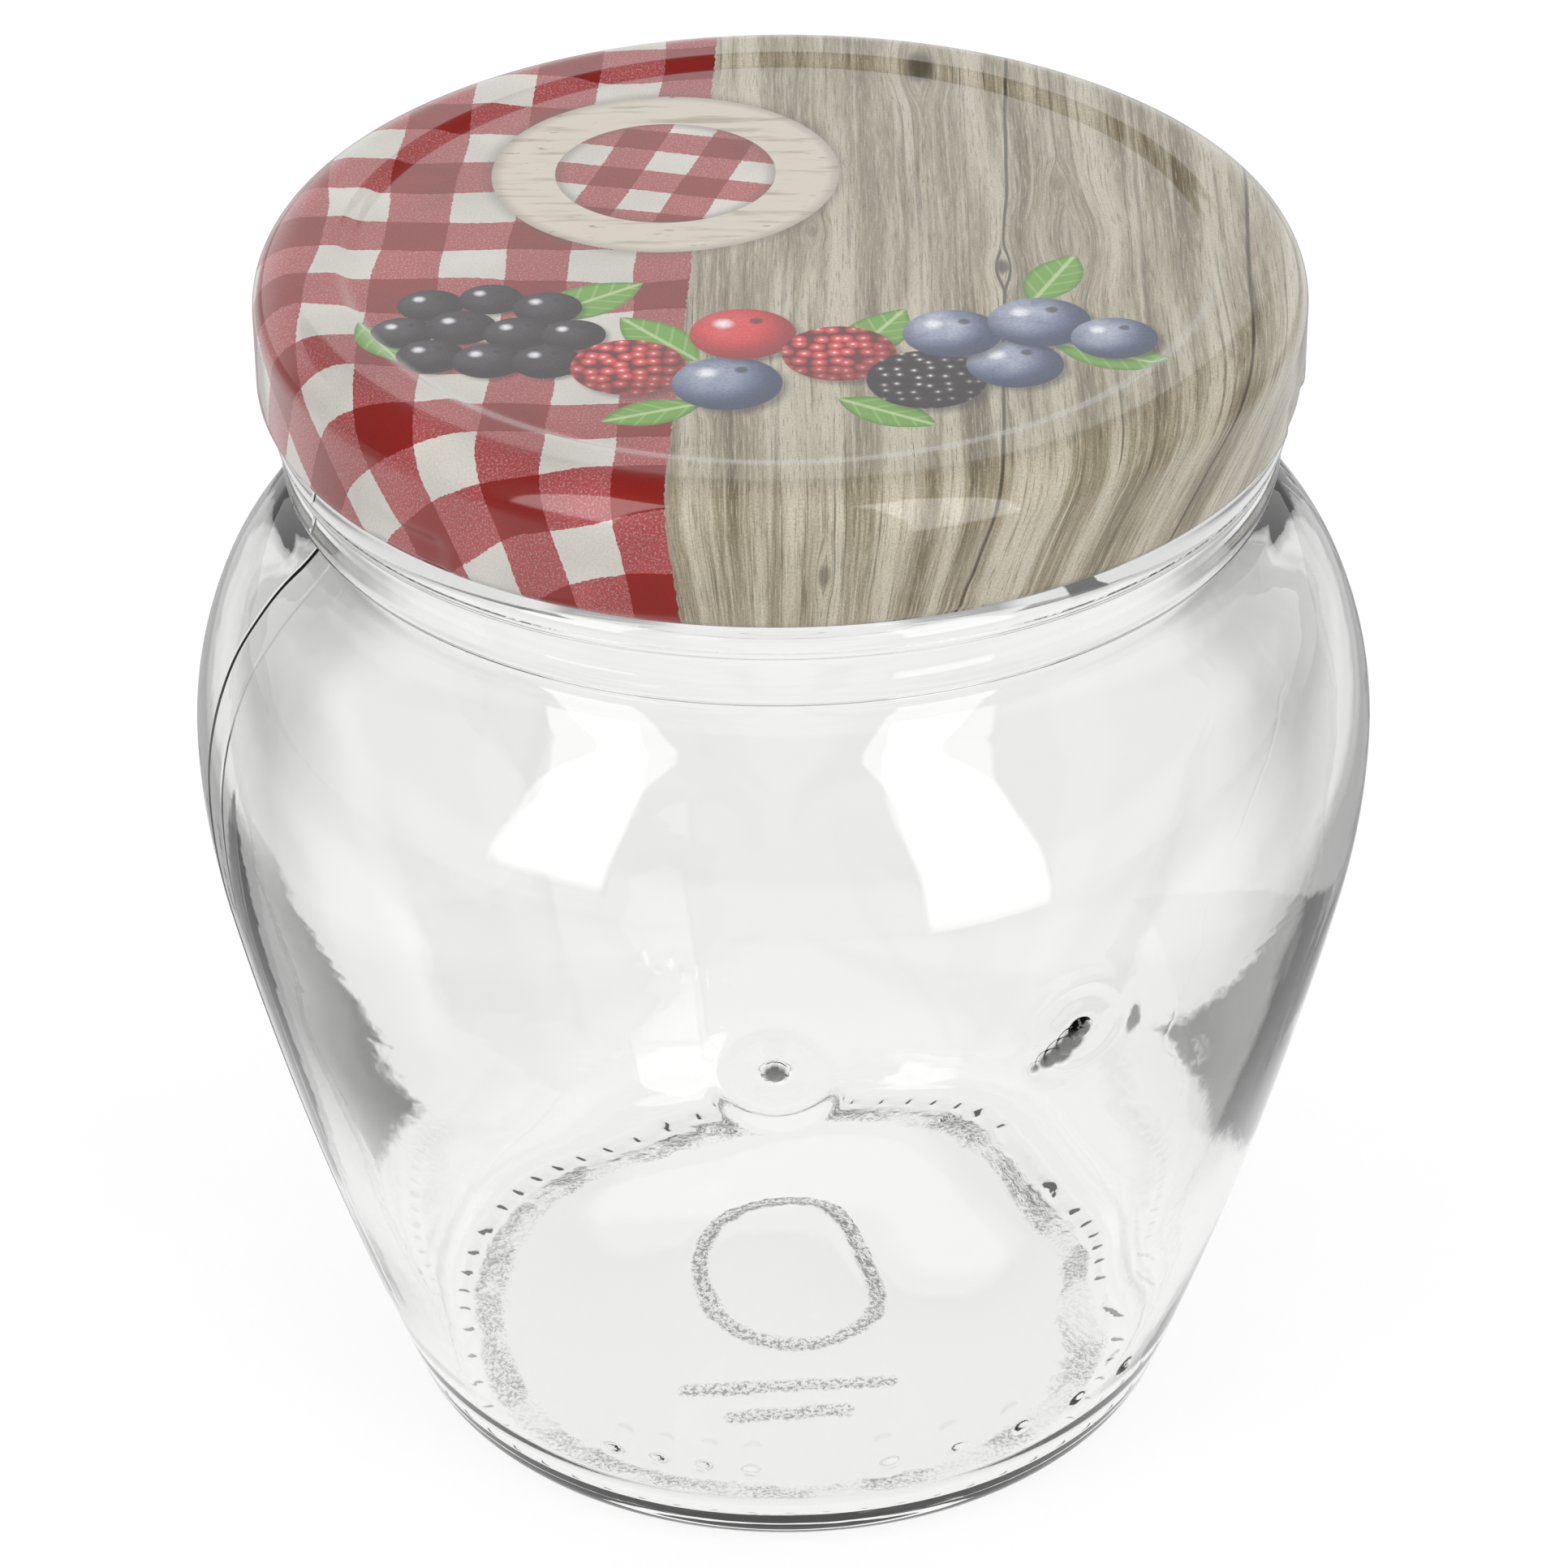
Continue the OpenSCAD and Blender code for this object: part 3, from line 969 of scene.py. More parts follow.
def group(name, fill, **inputs):
    """A node group that a function fills: it is given the inputs and returns the outputs by name.
    An input is a number, a place of three parts or a colour of four, as its default is. Returns
    the function that places the group in a tree."""
    tree = bpy.data.node_groups.new(name, "ShaderNodeTree")
    for label, default in inputs.items():
        socket = tree.interface.new_socket(
            label.capitalize(), in_out="INPUT", socket_type=INPUT_KINDS[np.size(default)]
        )
        socket.default_value = default
    source = outputs(tree.nodes.new("NodeGroupInput"))
    made = fill(*(source[k] for k in range(len(inputs))))
    for label, value in made.items():
        kind = OUTPUT_KINDS[value.socket.type]
        tree.interface.new_socket(label, in_out="OUTPUT", socket_type=kind)
    result = tree.nodes.new("NodeGroupOutput")
    for label, value in made.items():
        put(value, result.inputs[label])

    def placed(**links):
        node = tree_of(*links.values()).nodes.new("ShaderNodeGroup")
        node.node_tree = tree
        for label, value in links.items():
            put(value, node.inputs[label.capitalize()])
        return outputs(node)

    return placed


# Print. Its places are in millimetres on the unrolled sheet, from the lid's middle.


def gingham(place, check, lean, across, along, sway, red, pink, white):
    """Woven gingham: red and white stripes both ways, so that a thread's mix gives pink where one
    red stripe crosses a white one. The cloth waves a little, and its threads show."""
    x, y, _ = split(place)
    ragged = noise(place, 2.6, 1.0) * 0.3 - 0.15

    def swayed(value, scale, shift, amount):
        swing = noise(place, scale, 1.0, shift=shift) * (2 * amount) - amount
        return swing * sway + value + ragged

    def stripes(value, start):
        return maths("LESS_THAN", maths("FRACT", (value - start) / check * 0.5), 0.5)

    upright = stripes(swayed(x - y * lean, 0.075, (3, 8, 1), 0.9), across)
    level = stripes(swayed(y, 0.085, (31, 5, 2), 1.5), along)
    both = upright + level
    weft = noise(place, 1.0, 3.0, 0.7, stretch=(1.2, 5.0, 1))
    speckle = noise(place, 5.2, 2.0, 0.8)
    threads_show = remap(weft * 0.5 + speckle * 0.9, 0.5, 0.95, kind="LINEAR")
    woven = mix(threads_show * 0.55, pink, red)
    woven = shaded(woven, white, speckle, 0.5, 0.3, 0.45)
    cloth = mix(maths("MINIMUM", both, 1.0), white, woven)
    cloth = mix(maths("GREATER_THAN", both, 1.5), cloth, red)
    cloth = toned(cloth, noise(place, 0.11, 2.0, shift=(7, 2, 5)), 0.86, 1.08)
    return {"Color": toned(cloth, speckle, 0.88, 1.1)}


def knot(place, centre, size, depth):
    """A knot in a plank: how far the grain is pushed aside, and how dark the knot is."""
    off = place - centre
    reach = apart(off * (1.0, 0.5, 0.0)) / size
    push = maths("SIGN", split(off)[0]) * (remap(reach, 2.6, 0.3, 0.0, 0.7) * size)
    return {"Push": push, "Dark": remap(reach, 1.0, 0.35) * depth}


SEAMS = (
    (18.3, 0.04, 1.0),
    (38.2, 0.05, 1.0),
    (29.6, 0.01, 0.35),
    (0.6, 0.03, 0.3),
    (11.4, 0.0, 0.3),
)
KNOTS = (
    ((12.2, 34, 0), 1.7, 1.0),
    ((18.0, -3, 0), 0.9, 0.9),
    ((23.2, 12, 0), 1.0, 0.4),
    ((23.5, 2, 0), 2.4, 0.12),
    ((2.6, 3.5, 0), 0.7, 0.4),
    ((-5.2, -25.5, 0), 0.7, 0.5),
    ((3.5, -47.5, 0), 0.7, 0.6),
)
CRACK = (0.02, 0.016, 0.01, 1)
GAP = (0.01, 0.008, 0.005, 1)


def planks(place, wood, dark, pale):
    """Weathered planks: streaks of pale and dark fibre along the boards, knots that push the
    grain aside, and dark seams between boards. A seam has its place, its lean and its depth."""
    side, y, _ = split(place)
    knotted = group("Wood knot", knot, place=ORIGIN, centre=ORIGIN, size=1.0, depth=1.0)
    deep = 0.0
    for centre, size, depth in KNOTS:
        made = knotted(place=place, centre=centre, size=size, depth=depth)
        side = side - made["Push"]
        deep = maths("MAXIMUM", deep, made["Dark"])
    side = side + (noise(place, 0.05, 2.0, stretch=(1, 0.6, 1)) - 0.5)
    grain = combine(side, y)
    broad = noise(grain, 0.32, 3.0, 0.55, stretch=(1, 0.05, 1))
    fibre = noise(grain, 1.9, 5.0, 0.65, stretch=(1, 0.014, 1))
    fine = noise(grain, 6.5, 3.0, 0.7, stretch=(1, 0.045, 1), shift=(9, 0, 0))
    cracks = noise(grain, 2.6, 3.0, 0.6, stretch=(1, 0.03, 1), shift=(4, 7, 0))
    face = wood
    for streaks, none, full, share, streak in (
        (broad, 0.44, 0.62, 0.85, pale),
        (broad, 0.46, 0.34, 0.5, dark),
        (fibre, 0.52, 0.66, 0.6, pale),
        (fibre, 0.46, 0.34, 0.6, dark),
        (fine, 0.47, 0.34, 0.5, dark),
        (fine, 0.53, 0.66, 0.5, pale),
        (cracks, 0.33, 0.27, 0.75, mix(0.5, dark, CRACK)),
    ):
        face = shaded(face, streak, streaks, none, full, share)
    for middle, lean, depth in SEAMS:
        off = abs(side - (y * lean + middle))
        deep = maths("MAXIMUM", deep, remap(off, 0.24, 0.06, 0, depth))
    face = mix(deep * 0.85, face, mix(0.55, dark, GAP))
    return {"Color": toned(face, noise(place, 5.2, 2.0, 0.8), 0.78, 1.2)}


FRUIT_DEEP = (0.004, 0.002, 0.004, 1)
BLOOM = (0.75, 0.78, 0.85, 1)
GLINT = (0.9, 0.92, 0.95, 1)
STALK = (0.02, 0.015, 0.01, 1)
BEAD_DEEP = (0.01, 0.0, 0.0, 1)
BEAD_PALE = (0.8, 0.7, 0.7, 1)
BEAD_GLINT = (0.9, 0.88, 0.88, 1)


def fruit(place, centre, radius, skin, bloom, lobes):
    """A plain round fruit: darker towards its rim, with a soft bloom and one small glint. Where it
    has lobes, small round beads with a glint each take the place of the smooth skin."""
    off = (place - centre) / radius

    def away(x, y):
        return apart(off, (x, y, 0))

    rim = remap(away(-0.2, 0.25), 0.3, 1.2, 0.0, 0.8)
    face = mix(rim, skin, mix(0.72, skin, FRUIT_DEEP))
    pale = remap(away(-0.3, 0.35), 1.1, 0.1)
    face = mix(noise(place, 0.45, 3.0) * pale * bloom, face, BLOOM)
    face = shaded(face, STALK, away(0.25, 0.5), 0.16, 0.08, 0.7)
    face = shaded(face, GLINT, away(-0.36, 0.4), 0.26, 0.04, 0.85)
    links = {"Vector": place, "Scale": 0.78, "Randomness": 0.55}
    bead = add(tree_of(place), "TexVoronoi", links, voronoi_dimensions="2D")["Distance"]
    beaded = shaded(skin, mix(0.85, skin, BEAD_DEEP), bead, 0.3, 0.62)
    beaded = shaded(beaded, mix(0.5, skin, BEAD_PALE), bead, 0.36, 0.1, 0.45)
    beaded = shaded(beaded, BEAD_GLINT, bead, 0.15, 0.06, 0.8)
    beaded = mix(rim * 0.8, beaded, mix(0.8, skin, FRUIT_DEEP))
    face = mix(lobes, face, beaded)
    return {
        "Color": toned(face, noise(place, 3.4, 3.0, 0.7), 0.8, 1.2),
        "Mask": remap(away(0, 0), 1.0, 0.97),
        "Shadow": remap(away(0.12, -0.14), 1.12, 0.85, 0, 0.55),
    }


SIDE_VEIN = (0.5, 0.65, 0.3, 1)
MIDDLE_VEIN = (0.55, 0.68, 0.35, 1)
LEAF_EDGE = (0.03, 0.09, 0.01, 1)


def leaf(place, centre, turn, size, green):
    """A pointed leaf with a pale middle vein and faint side veins."""
    along, across, _ = split(turned(place - centre, turn * -1))
    reach = along / (size * 0.5)
    off_vein = abs(across)
    inside = (1.0 - reach * reach) * (size * 0.24) - off_vein
    face = shaded(green, SIDE_VEIN, maths("SINE", (along - off_vein) * 3.6), 0.7, 1.0, 0.3)
    face = shaded(face, MIDDLE_VEIN, off_vein, 0.28, 0.1, 0.7)
    face = shaded(face, LEAF_EDGE, inside, 0.7, 0.0, 0.45)
    return {"Color": face, "Mask": remap(inside, 0.0, 0.12)}


FRUITS = (
    (-28.0, -9.0, 2.7, "plum", 0.12, 0.0),
    (-23.2, -8.0, 2.6, "plum", 0.1, 0.0),
    (-18.6, -9.6, 2.8, "plum", 0.12, 0.0),
    (-30.0, -13.6, 2.6, "plum", 0.15, 0.0),
    (-25.4, -12.8, 2.9, "plum", 0.1, 0.0),
    (-20.8, -13.9, 2.8, "plum", 0.12, 0.0),
    (-16.4, -14.2, 2.6, "plum", 0.1, 0.0),
    (-27.6, -17.6, 2.8, "plum", 0.12, 0.0),
    (-23.0, -18.4, 2.9, "plum", 0.15, 0.0),
    (-18.4, -18.6, 2.8, "plum", 0.1, 0.0),
    (-12.0, -19.6, 4.6, "cherry", 0.14, 1.0),
    (-4.2, -22.4, 4.4, "sloe", 0.7, 0.0),
    (-3.0, -14.2, 4.3, "cherry", 0.1, 0.0),
    (4.6, -17.6, 4.6, "cherry", 0.12, 1.0),
    (11.4, -22.0, 4.8, "plum", 0.3, 1.0),
    (18.4, -19.6, 3.9, "sloe", 0.9, 0.0),
    (13.6, -14.4, 4.0, "sloe", 1.0, 0.0),
    (20.6, -12.6, 4.2, "sloe", 0.9, 0.0),
    (26.4, -15.4, 3.5, "sloe", 1.0, 0.0),
)
LEAVES = (
    (-15.5, -8.5, 35, 11.0),
    (-31.5, -16.0, -60, 8.5),
    (-9.6, -15.0, 130, 10.0),
    (7.4, -14.6, 60, 10.5),
    (8.2, -27.2, -30, 9.0),
    (26.0, -18.0, -25, 10.5),
    (22.0, -5.2, 65, 9.5),
    (-10.0, -27.0, 200, 8.5),
)
PLAQUE = (-9.5, 14.5, 0)
PLAQUE_R = 14.5
PLAQUE_WINDOW = 9.2
WINDOW_CHECK = 3.7
WINDOW_TURN = math.radians(14)
EDGE_LEAN = 0.045
EDGE_AT = -7.1
CRISP = 0.06
EDGE_SHADE = (0.1, 0.07, 0.05, 1)
PLAQUE_SHADE = (0.08, 0.06, 0.05, 1)
WINDOW_SHADE = (0.12, 0.05, 0.04, 1)
FRUIT_SHADE = (0.03, 0.02, 0.02, 1)


def cloth_and_planks(place, cloth, look):
    """The print's ground: cloth to the left and planks to the right of a leaning, frayed edge."""
    boards = group("Weathered planks", planks, place=ORIGIN, wood=GREY, dark=GREY, pale=GREY)
    wood, dark, pale = (rgba(tint) for tint in (look.wood, look.wood_dark, look.wood_pale))
    right = boards(place=place, wood=wood, dark=dark, pale=pale)["Color"]
    x, y, _ = split(place)
    past = x + (noise(place, 1.6, 2.0) * 0.5 - 0.25) - (y * EDGE_LEAN + EDGE_AT)
    ground = shaded(cloth, right, past, -0.05, 0.05)
    return shaded(ground, EDGE_SHADE, abs(past - 0.25), 0.5, 0.0, 0.3)


def with_plaque(picture, place, window, look):
    """The picture with a plain round wooden plaque on it, which has a window of finer cloth."""
    away = apart(place, PLAQUE)
    wood, dark = rgba(look.wood), rgba(look.wood_dark)
    picture = shaded(picture, PLAQUE_SHADE, away, PLAQUE_R + 1.4, PLAQUE_R - 0.5, 0.45)
    streak = noise(place, 0.8, 4.0, 0.6, stretch=(0.12, 1, 1))
    board = shaded(rgba(look.plaque), wood, streak, 0.5, 0.3, 0.7)
    nicks = noise(place, 0.9, 4.0, 0.7, stretch=(0.35, 1.6, 1), shift=(5, 2, 0))
    board = shaded(board, dark, nicks, 0.37, 0.3, 0.8)
    board = shaded(board, dark, away, PLAQUE_R - 1.2, PLAQUE_R, 0.35)
    picture = shaded(picture, board, away, PLAQUE_R + CRISP, PLAQUE_R - CRISP)
    window = shaded(window, WINDOW_SHADE, away, PLAQUE_WINDOW - 1.2, PLAQUE_WINDOW, 0.45)
    return shaded(picture, window, away, PLAQUE_WINDOW + CRISP, PLAQUE_WINDOW - CRISP)


def lid_print(tree, look):
    """Colour of the whole print: cloth to the left, planks to the right, a plain round plaque with
    a window of finer cloth, and a garland of round fruit and leaves. Returns its place too."""
    span = 2 * PRINT_REACH / MM
    links = {"Vector": add(tree, "UVMap", uv_map="print")[0]}
    links.update({"Scale": (span, span, 1), "Location": (-span / 2, -span / 2, 0)})
    place = add(tree, "Mapping", links)[0]
    weave = {"check": 5.27, "lean": 0.045, "across": -11.5, "along": 0.65, "sway": 1.0}
    cloth = group("Gingham cloth", gingham, place=ORIGIN, **weave, red=GREY, pink=GREY, white=GREY)
    colours = {name: rgba(getattr(look, name)) for name in ("red", "pink", "white")}
    ground = cloth(place=place, check=look.check / MM, **colours)["Color"]
    window_place = turned(place, WINDOW_TURN)
    window = cloth(place=window_place, check=WINDOW_CHECK, sway=0.3, **colours)["Color"]
    picture = with_plaque(cloth_and_planks(place, ground, look), place, window, look)
    one_leaf = group("Leaf", leaf, place=ORIGIN, centre=ORIGIN, turn=0.0, size=10.0, green=GREY)
    for x, y, turn, size in LEAVES:
        links = {"centre": (x, y, 0), "turn": math.radians(turn), "size": size}
        made = one_leaf(place=place, green=rgba(look.leaf), **links)
        picture = mix(made["Mask"], picture, made["Color"])
    round_fruit = group(
        "Round fruit", fruit, place=ORIGIN, centre=ORIGIN, radius=5.0, skin=GREY, bloom=0.3, lobes=0.0
    )
    for x, y, radius, kind, bloom, lobes in FRUITS:
        links = {"centre": (x, y, 0), "radius": radius, "bloom": bloom, "lobes": lobes}
        made = round_fruit(place=place, skin=rgba(getattr(look, kind)), **links)
        picture = mix(made["Shadow"], picture, FRUIT_SHADE)
        picture = mix(made["Mask"], picture, made["Color"])
    return picture, place


# Finishes. Places are Object coordinates in metres, but for the print's.


def new_material(name):
    """A material with its tree and its Principled shader."""
    material = bpy.data.materials.new(name)
    material.use_nodes = True
    shader = next(n for n in material.node_tree.nodes if n.type == "BSDF_PRINCIPLED")
    return material, material.node_tree, shader


def dress(shader, **values):
    """Sets or links the shader's own sockets. An underscore stands for a space in their names."""
    for name, value in values.items():
        put(value, shader.inputs[name.replace("_", " ")])


def printed_tin(look):
    """Varnished print on tinplate."""
    material, tree, shader = new_material("printed tinplate")
    picture, place = lid_print(tree, look)
    dress(
        shader,
        Base_Color=picture,
        Roughness=remap(noise(place, 4.0, 2.0, 0.7), 0.3, 0.7, 0.3, 0.45),
        Normal=raised(noise(place, 0.9, 2.0), 0.02, 0.4 * MM),
        Coat_Weight=1.0,
        Coat_Roughness=0.03,
        Coat_IOR=1.5,
        IOR=1.35,
    )
    return material


def cloudy_finish(name, tint, scale, tones, roughs):
    """A smooth finish whose tone and roughness change in soft clouds. Returns the clouds too."""
    material, tree, shader = new_material(name)
    clouds = noise(add(tree, "TexCoord")["Object"], scale, 3.0)
    rough = remap(clouds, 0.3, 0.7, *roughs)
    dress(shader, Base_Color=toned(rgba(tint), clouds, *tones), Roughness=rough)
    return material, shader, clouds


THROUGH_GLASS = 0.12


def inner_enamel(look):
    """Pale lacquer inside the lid. Its faint glow stands for the light that clear glass passes on
    to it, which the renderer leaves out."""
    tint, tones, roughs = look.enamel, (0.95, 1.03), (0.26, 0.36)
    material, shader, _ = cloudy_finish("inner enamel", tint, 220.0, tones, roughs)
    dress(shader, Emission_Color=rgba(tint), Emission_Strength=THROUGH_GLASS)
    return material


def soft_compound(look):
    """Cream compound of the sealing ring."""
    tones, roughs = (0.92, 1.05), (0.42, 0.56)
    material, shader, clouds = cloudy_finish("seal compound", look.seal, 400.0, tones, roughs)
    dress(shader, Normal=raised(clouds, 0.15, 0.3 * MM))
    return material


def drop(place, centre, radius, proud):
    """A steep drop on a skin: the height of a dome over a round foot, and a painted shade that
    darkens the glass over the drop's middle."""
    reach = apart(place, centre) / radius
    dome = maths("SQRT", maths("MAXIMUM", 1.0 - reach * reach, 0.0))
    # Shade is painted shade: it darkens the glass over the drop's middle.
    return {"Height": dome * proud, "Shade": remap(reach, 0.95, 0.6)}


DROP_R = 1.15 * MM
DROP_PROUD = 0.45 * MM
# The tail is a row of low drops whose darkness is painted shade.
PAINTED_SHADE_TAIL = (
    (-0.8, -1.0, 1.5, 0.22),
    (-1.9, -1.9, 1.6, 0.2),
    (-3.1, -2.4, 1.3, 0.15),
    (-4.4, -2.9, 0.9, 0.1),
)


def drops(shape):
    """Places, radii and heights of the steep drops: one on each pip, and a tail by the second. Each
    drop also darkens the glass with painted shade. A drop of the tail has its turn in degrees, and
    its rise, radius and height in millimetres."""
    listed = [(centre, PIP_Z, DROP_R, DROP_PROUD) for centre in PIP_DEGREES]
    for turn, rise, radius, proud in PAINTED_SHADE_TAIL:
        listed.append((PIP_DEGREES[1] + turn, PIP_Z + rise * MM, radius * MM, proud * MM))
    for turn, height, radius, proud in listed:
        way = math.radians(FRONT + turn)
        out = shape.belly_r + PIP_PROUD / 2
        yield (out * math.cos(way), out * math.sin(way), height), radius, proud


def frosting(place):
    """Rough marks under the base: grey specks in clusters along a ring by the edge, and along
    a smaller ring and two bars."""
    x, y, _ = split(place)
    flat = combine(x, y)
    out = apart(flat)
    sway = noise(flat, 420.0, 2.0) * (1.6 * MM) - 0.8 * MM
    middle, half = (STIPPLE_IN + STIPPLE_OUT) / 2, (STIPPLE_OUT - STIPPLE_IN) / 2
    edge = remap(abs(out + sway - middle), half * 1.1, half * 0.6)
    clusters = noise(flat, 150.0, 2.0, shift=(0.4, 0.1, 0))
    edge = edge * remap(clusters, 0.4, 0.56, 0.3, 1.0)
    near = abs(out - MARK_RING_R)
    for front, reach in MARK_BARS:
        past_end = maths("MAXIMUM", abs(x) - reach, 0.0)
        near = maths("MINIMUM", near, apart(combine(past_end, y + front)))
    strokes = remap(near + sway * 0.4, MARK_R * 1.1, MARK_R * 0.5)
    cover = maths("MAXIMUM", edge, strokes)
    specks = noise(flat, 2300.0, 3.0, 0.7)
    shade = remap(specks, 0.47, 0.58) * 0.8 + 0.1
    return {"Shade": cover * shade, "Height": cover * (specks * (0.12 * MM))}


def moulded_skin(place):
    """Height of the faint unevenness of moulded glass."""
    return noise(place, 260.0, 2.0) * (0.006 * MM)


def finish_glass(look, shader, shade, skin):
    """Glass that lets less through where the shade is high (frosting under the base, painted shade on
    the drops), with a height over its skin.
    """
    tint = mix(shade, rgba(look.tint), rgba(look.shade))
    dress(shader, Base_Color=tint, Normal=raised(skin, 1.0, 1.0))
    dress(shader, Transmission_Weight=1.0, Roughness=0.0, IOR=look.bend)


def clear_glass(look):
    """Clear flint glass with the faint unevenness of a moulded skin, and the steep drops that the
    mould's vents leave, which the mesh is too coarse for. The drops darken the glass with painted
    shade."""
    material, tree, shader = new_material("clear glass")
    place = add(tree, "TexCoord")["Object"]
    painted_shade_drop = group("Drop on glass", drop, place=ORIGIN, centre=ORIGIN, radius=MM, proud=MM)
    skin, shade = moulded_skin(place), 0.0
    for centre, radius, proud in drops(settings().jar):
        made = painted_shade_drop(place=place, centre=centre, radius=radius, proud=proud)
        skin = skin + made["Height"]
        # The drops' shade is painted shade over the pips and their tail.
        shade = maths("MAXIMUM", shade, made["Shade"])
    finish_glass(look, shader, shade, skin)
    return material


def frosted_base(look):
    """The same glass under the base, with its frosting."""
    material, tree, shader = new_material("glass under the base")
    place = add(tree, "TexCoord")["Object"]
    frost = group("Frosting under the base", frosting, place=ORIGIN)(place=place)
    finish_glass(look, shader, frost["Shade"], moulded_skin(place) + frost["Height"])
    return material


# Studio


def make_camera(studio):
    """The camera at the photographed view: raised, and leaning a little to its right."""
    lens = bpy.data.cameras.new("camera")
    lens.lens = studio.lens
    lens.sensor_width = 36
    lens.clip_start, lens.clip_end = 0.01, 50
    camera = bpy.data.objects.new("camera", lens)
    bpy.context.scene.collection.objects.link(camera)
    back = Vector((0, -math.cos(studio.rise), math.sin(studio.rise)))
    turn = Euler((math.pi / 2 - studio.rise, 0, 0)).to_matrix()
    turn = turn @ Matrix.Rotation(-studio.roll, 3, "Z")
    place = Vector((0, 0, studio.aim_z)) + back * studio.distance
    camera.matrix_world = Matrix.Translation(place) @ turn.to_4x4()
    bpy.context.scene.camera = camera


def bare_material(name):
    """A material with no shader yet: its tree and the socket that its surface goes to."""
    material, tree, shader = new_material(name)
    tree.nodes.remove(shader)
    output = next(n for n in tree.nodes if n.type == "OUTPUT_MATERIAL")
    return material, tree, output.inputs["Surface"]


WINDOWS = ((-44.5, 24, 3.5, 62), (36.5, 25, -9, 68))
SHOULDER_LEVEL = 80 * MM
SOFT_EDGE = 0.08


def glow_panel(name, places, glow):
    """A square of light in four corners whose glow fades to nothing along its edges."""
    panel = make_mesh(name, places, np.array([[0, 1, 2, 3]]), np.empty((0, 3), int))
    layer = panel.data.uv_layers.new(name="soft")
    layer.data.foreach_set("uv", np.array([0, 0, 1, 0, 1, 1, 0, 1], np.float32))
    material, tree, surface = bare_material(name)
    fade = glow
    for part in split(add(tree, "UVMap", uv_map="soft")[0])[:2]:
        from_edge = 0.5 - abs(part - 0.5)
        fade = remap(from_edge, 0.0, SOFT_EDGE) * fade
    put(add(tree, "Emission", {"Strength": fade})[0], surface)
    panel.data.materials.append(material)
    panel.visible_camera = False


def make_windows(studio):
    """Two tall upright lamps in front, left and right, whose reflections lie on glass and tin. A
    lamp is given by the angle to its middle, its width, and its foot's and top's angles above
    the level of the jar's shoulder."""
    far = studio.window_far
    for number, (azimuth, wide, foot, top) in enumerate(WINDOWS):
        turn = math.radians(azimuth)
        way = np.array([math.sin(turn), -math.cos(turn), 0]) * far
        side = np.array([math.cos(turn), math.sin(turn), 0])
        side *= math.tan(math.radians(wide / 2)) * far
        heights = [SHOULDER_LEVEL + far * math.tan(math.radians(e)) for e in (foot, top)]
        low, high = (np.array([0, 0, height]) for height in heights)
        places = np.array(
            [way - side + low, way + side + low, way + side + high, way - side + high]
        )
        glow_panel(f"window_{number}", places, studio.window_glow)


PATCHES = (
    (-1.0, 0.03, ((1.0, 0.5, 55.0), (0.86, -1.0, 1.8), (0.26, -1.0, -40.8), (-0.7, 1.0, -20.5))),
    (1.0, 0.22, ((1.0, 0.5, 60.8), (0.53, -1.0, -14.2), (-0.98, -1.0, -133.8), (0.59, 1.0, 25.2))),
)


def beside_jar(place):
    """How bright the floor beside the jar looks through its glass. On each side a dim patch with
    frayed edges lies where all of its shares of the two coordinates, in millimetres, pass a
    least sum."""
    x, y, _ = split(place)
    frayed = noise(place, 420.0, 3.0, 0.6) * 5.0 - 2.5
    bright = 1.0
    for side, level, edges in PATCHES:
        out, back = x * (side / MM), y / MM
        cover = 1.0
        for across, along, least in edges:
            past = out * across + back * along + frayed - least
            cover = remap(past, -1.0, 2.0) * cover
        bright = (cover * (level - 1.0) + 1.0) * bright
    return bright


# How gloss and glass see the floor: a near and a far distance from the axis in metres, and how
# bright it is past them. In front it has a brightness of its own before them too.
SIDE_FALL = (0.09, 0.17, 0.86)
FAR_FALL = (0.24, 0.45, 0.5)
STRIP_START = (0.052, 0.078, 0.5)
STRIP_END = (0.1, 0.14, 0.0)
FRONT_FALL = (-0.12, -0.22, 0.93, 0.5)
FLOOR_Z = -0.05 * MM
FLOOR_CORNERS = 96
FLOOR_WHITE = 1.09
FLOOR_BOUNCE = 0.35
OWN_LIGHT = 0.75


def falling(value, near, far, low):
    """1 up to a near distance from 0, falling to low at a far distance."""
    return remap(abs(value), near, far, 1.0, low)


def floor_seen(place, path):
    """How bright the floor looks to gloss and through glass: less far out to the sides and in
    front, beside the jar for gloss, and in two patches through glass."""
    x, y, _ = split(place)
    gloss, bent = path["Is Glossy Ray"], path["Is Transmission Ray"]
    sides = falling(x, *SIDE_FALL) * falling(x, *FAR_FALL)
    ahead = maths("MAXIMUM", remap(y, *FRONT_FALL), bent * FRONT_FALL[2])
    strip = maths("MAXIMUM", falling(x, *STRIP_START), 1.0 - falling(x, *STRIP_END))
    return sides * ahead * choose(gloss, 1.0, strip) * choose(bent, 1.0, beside_jar(place))


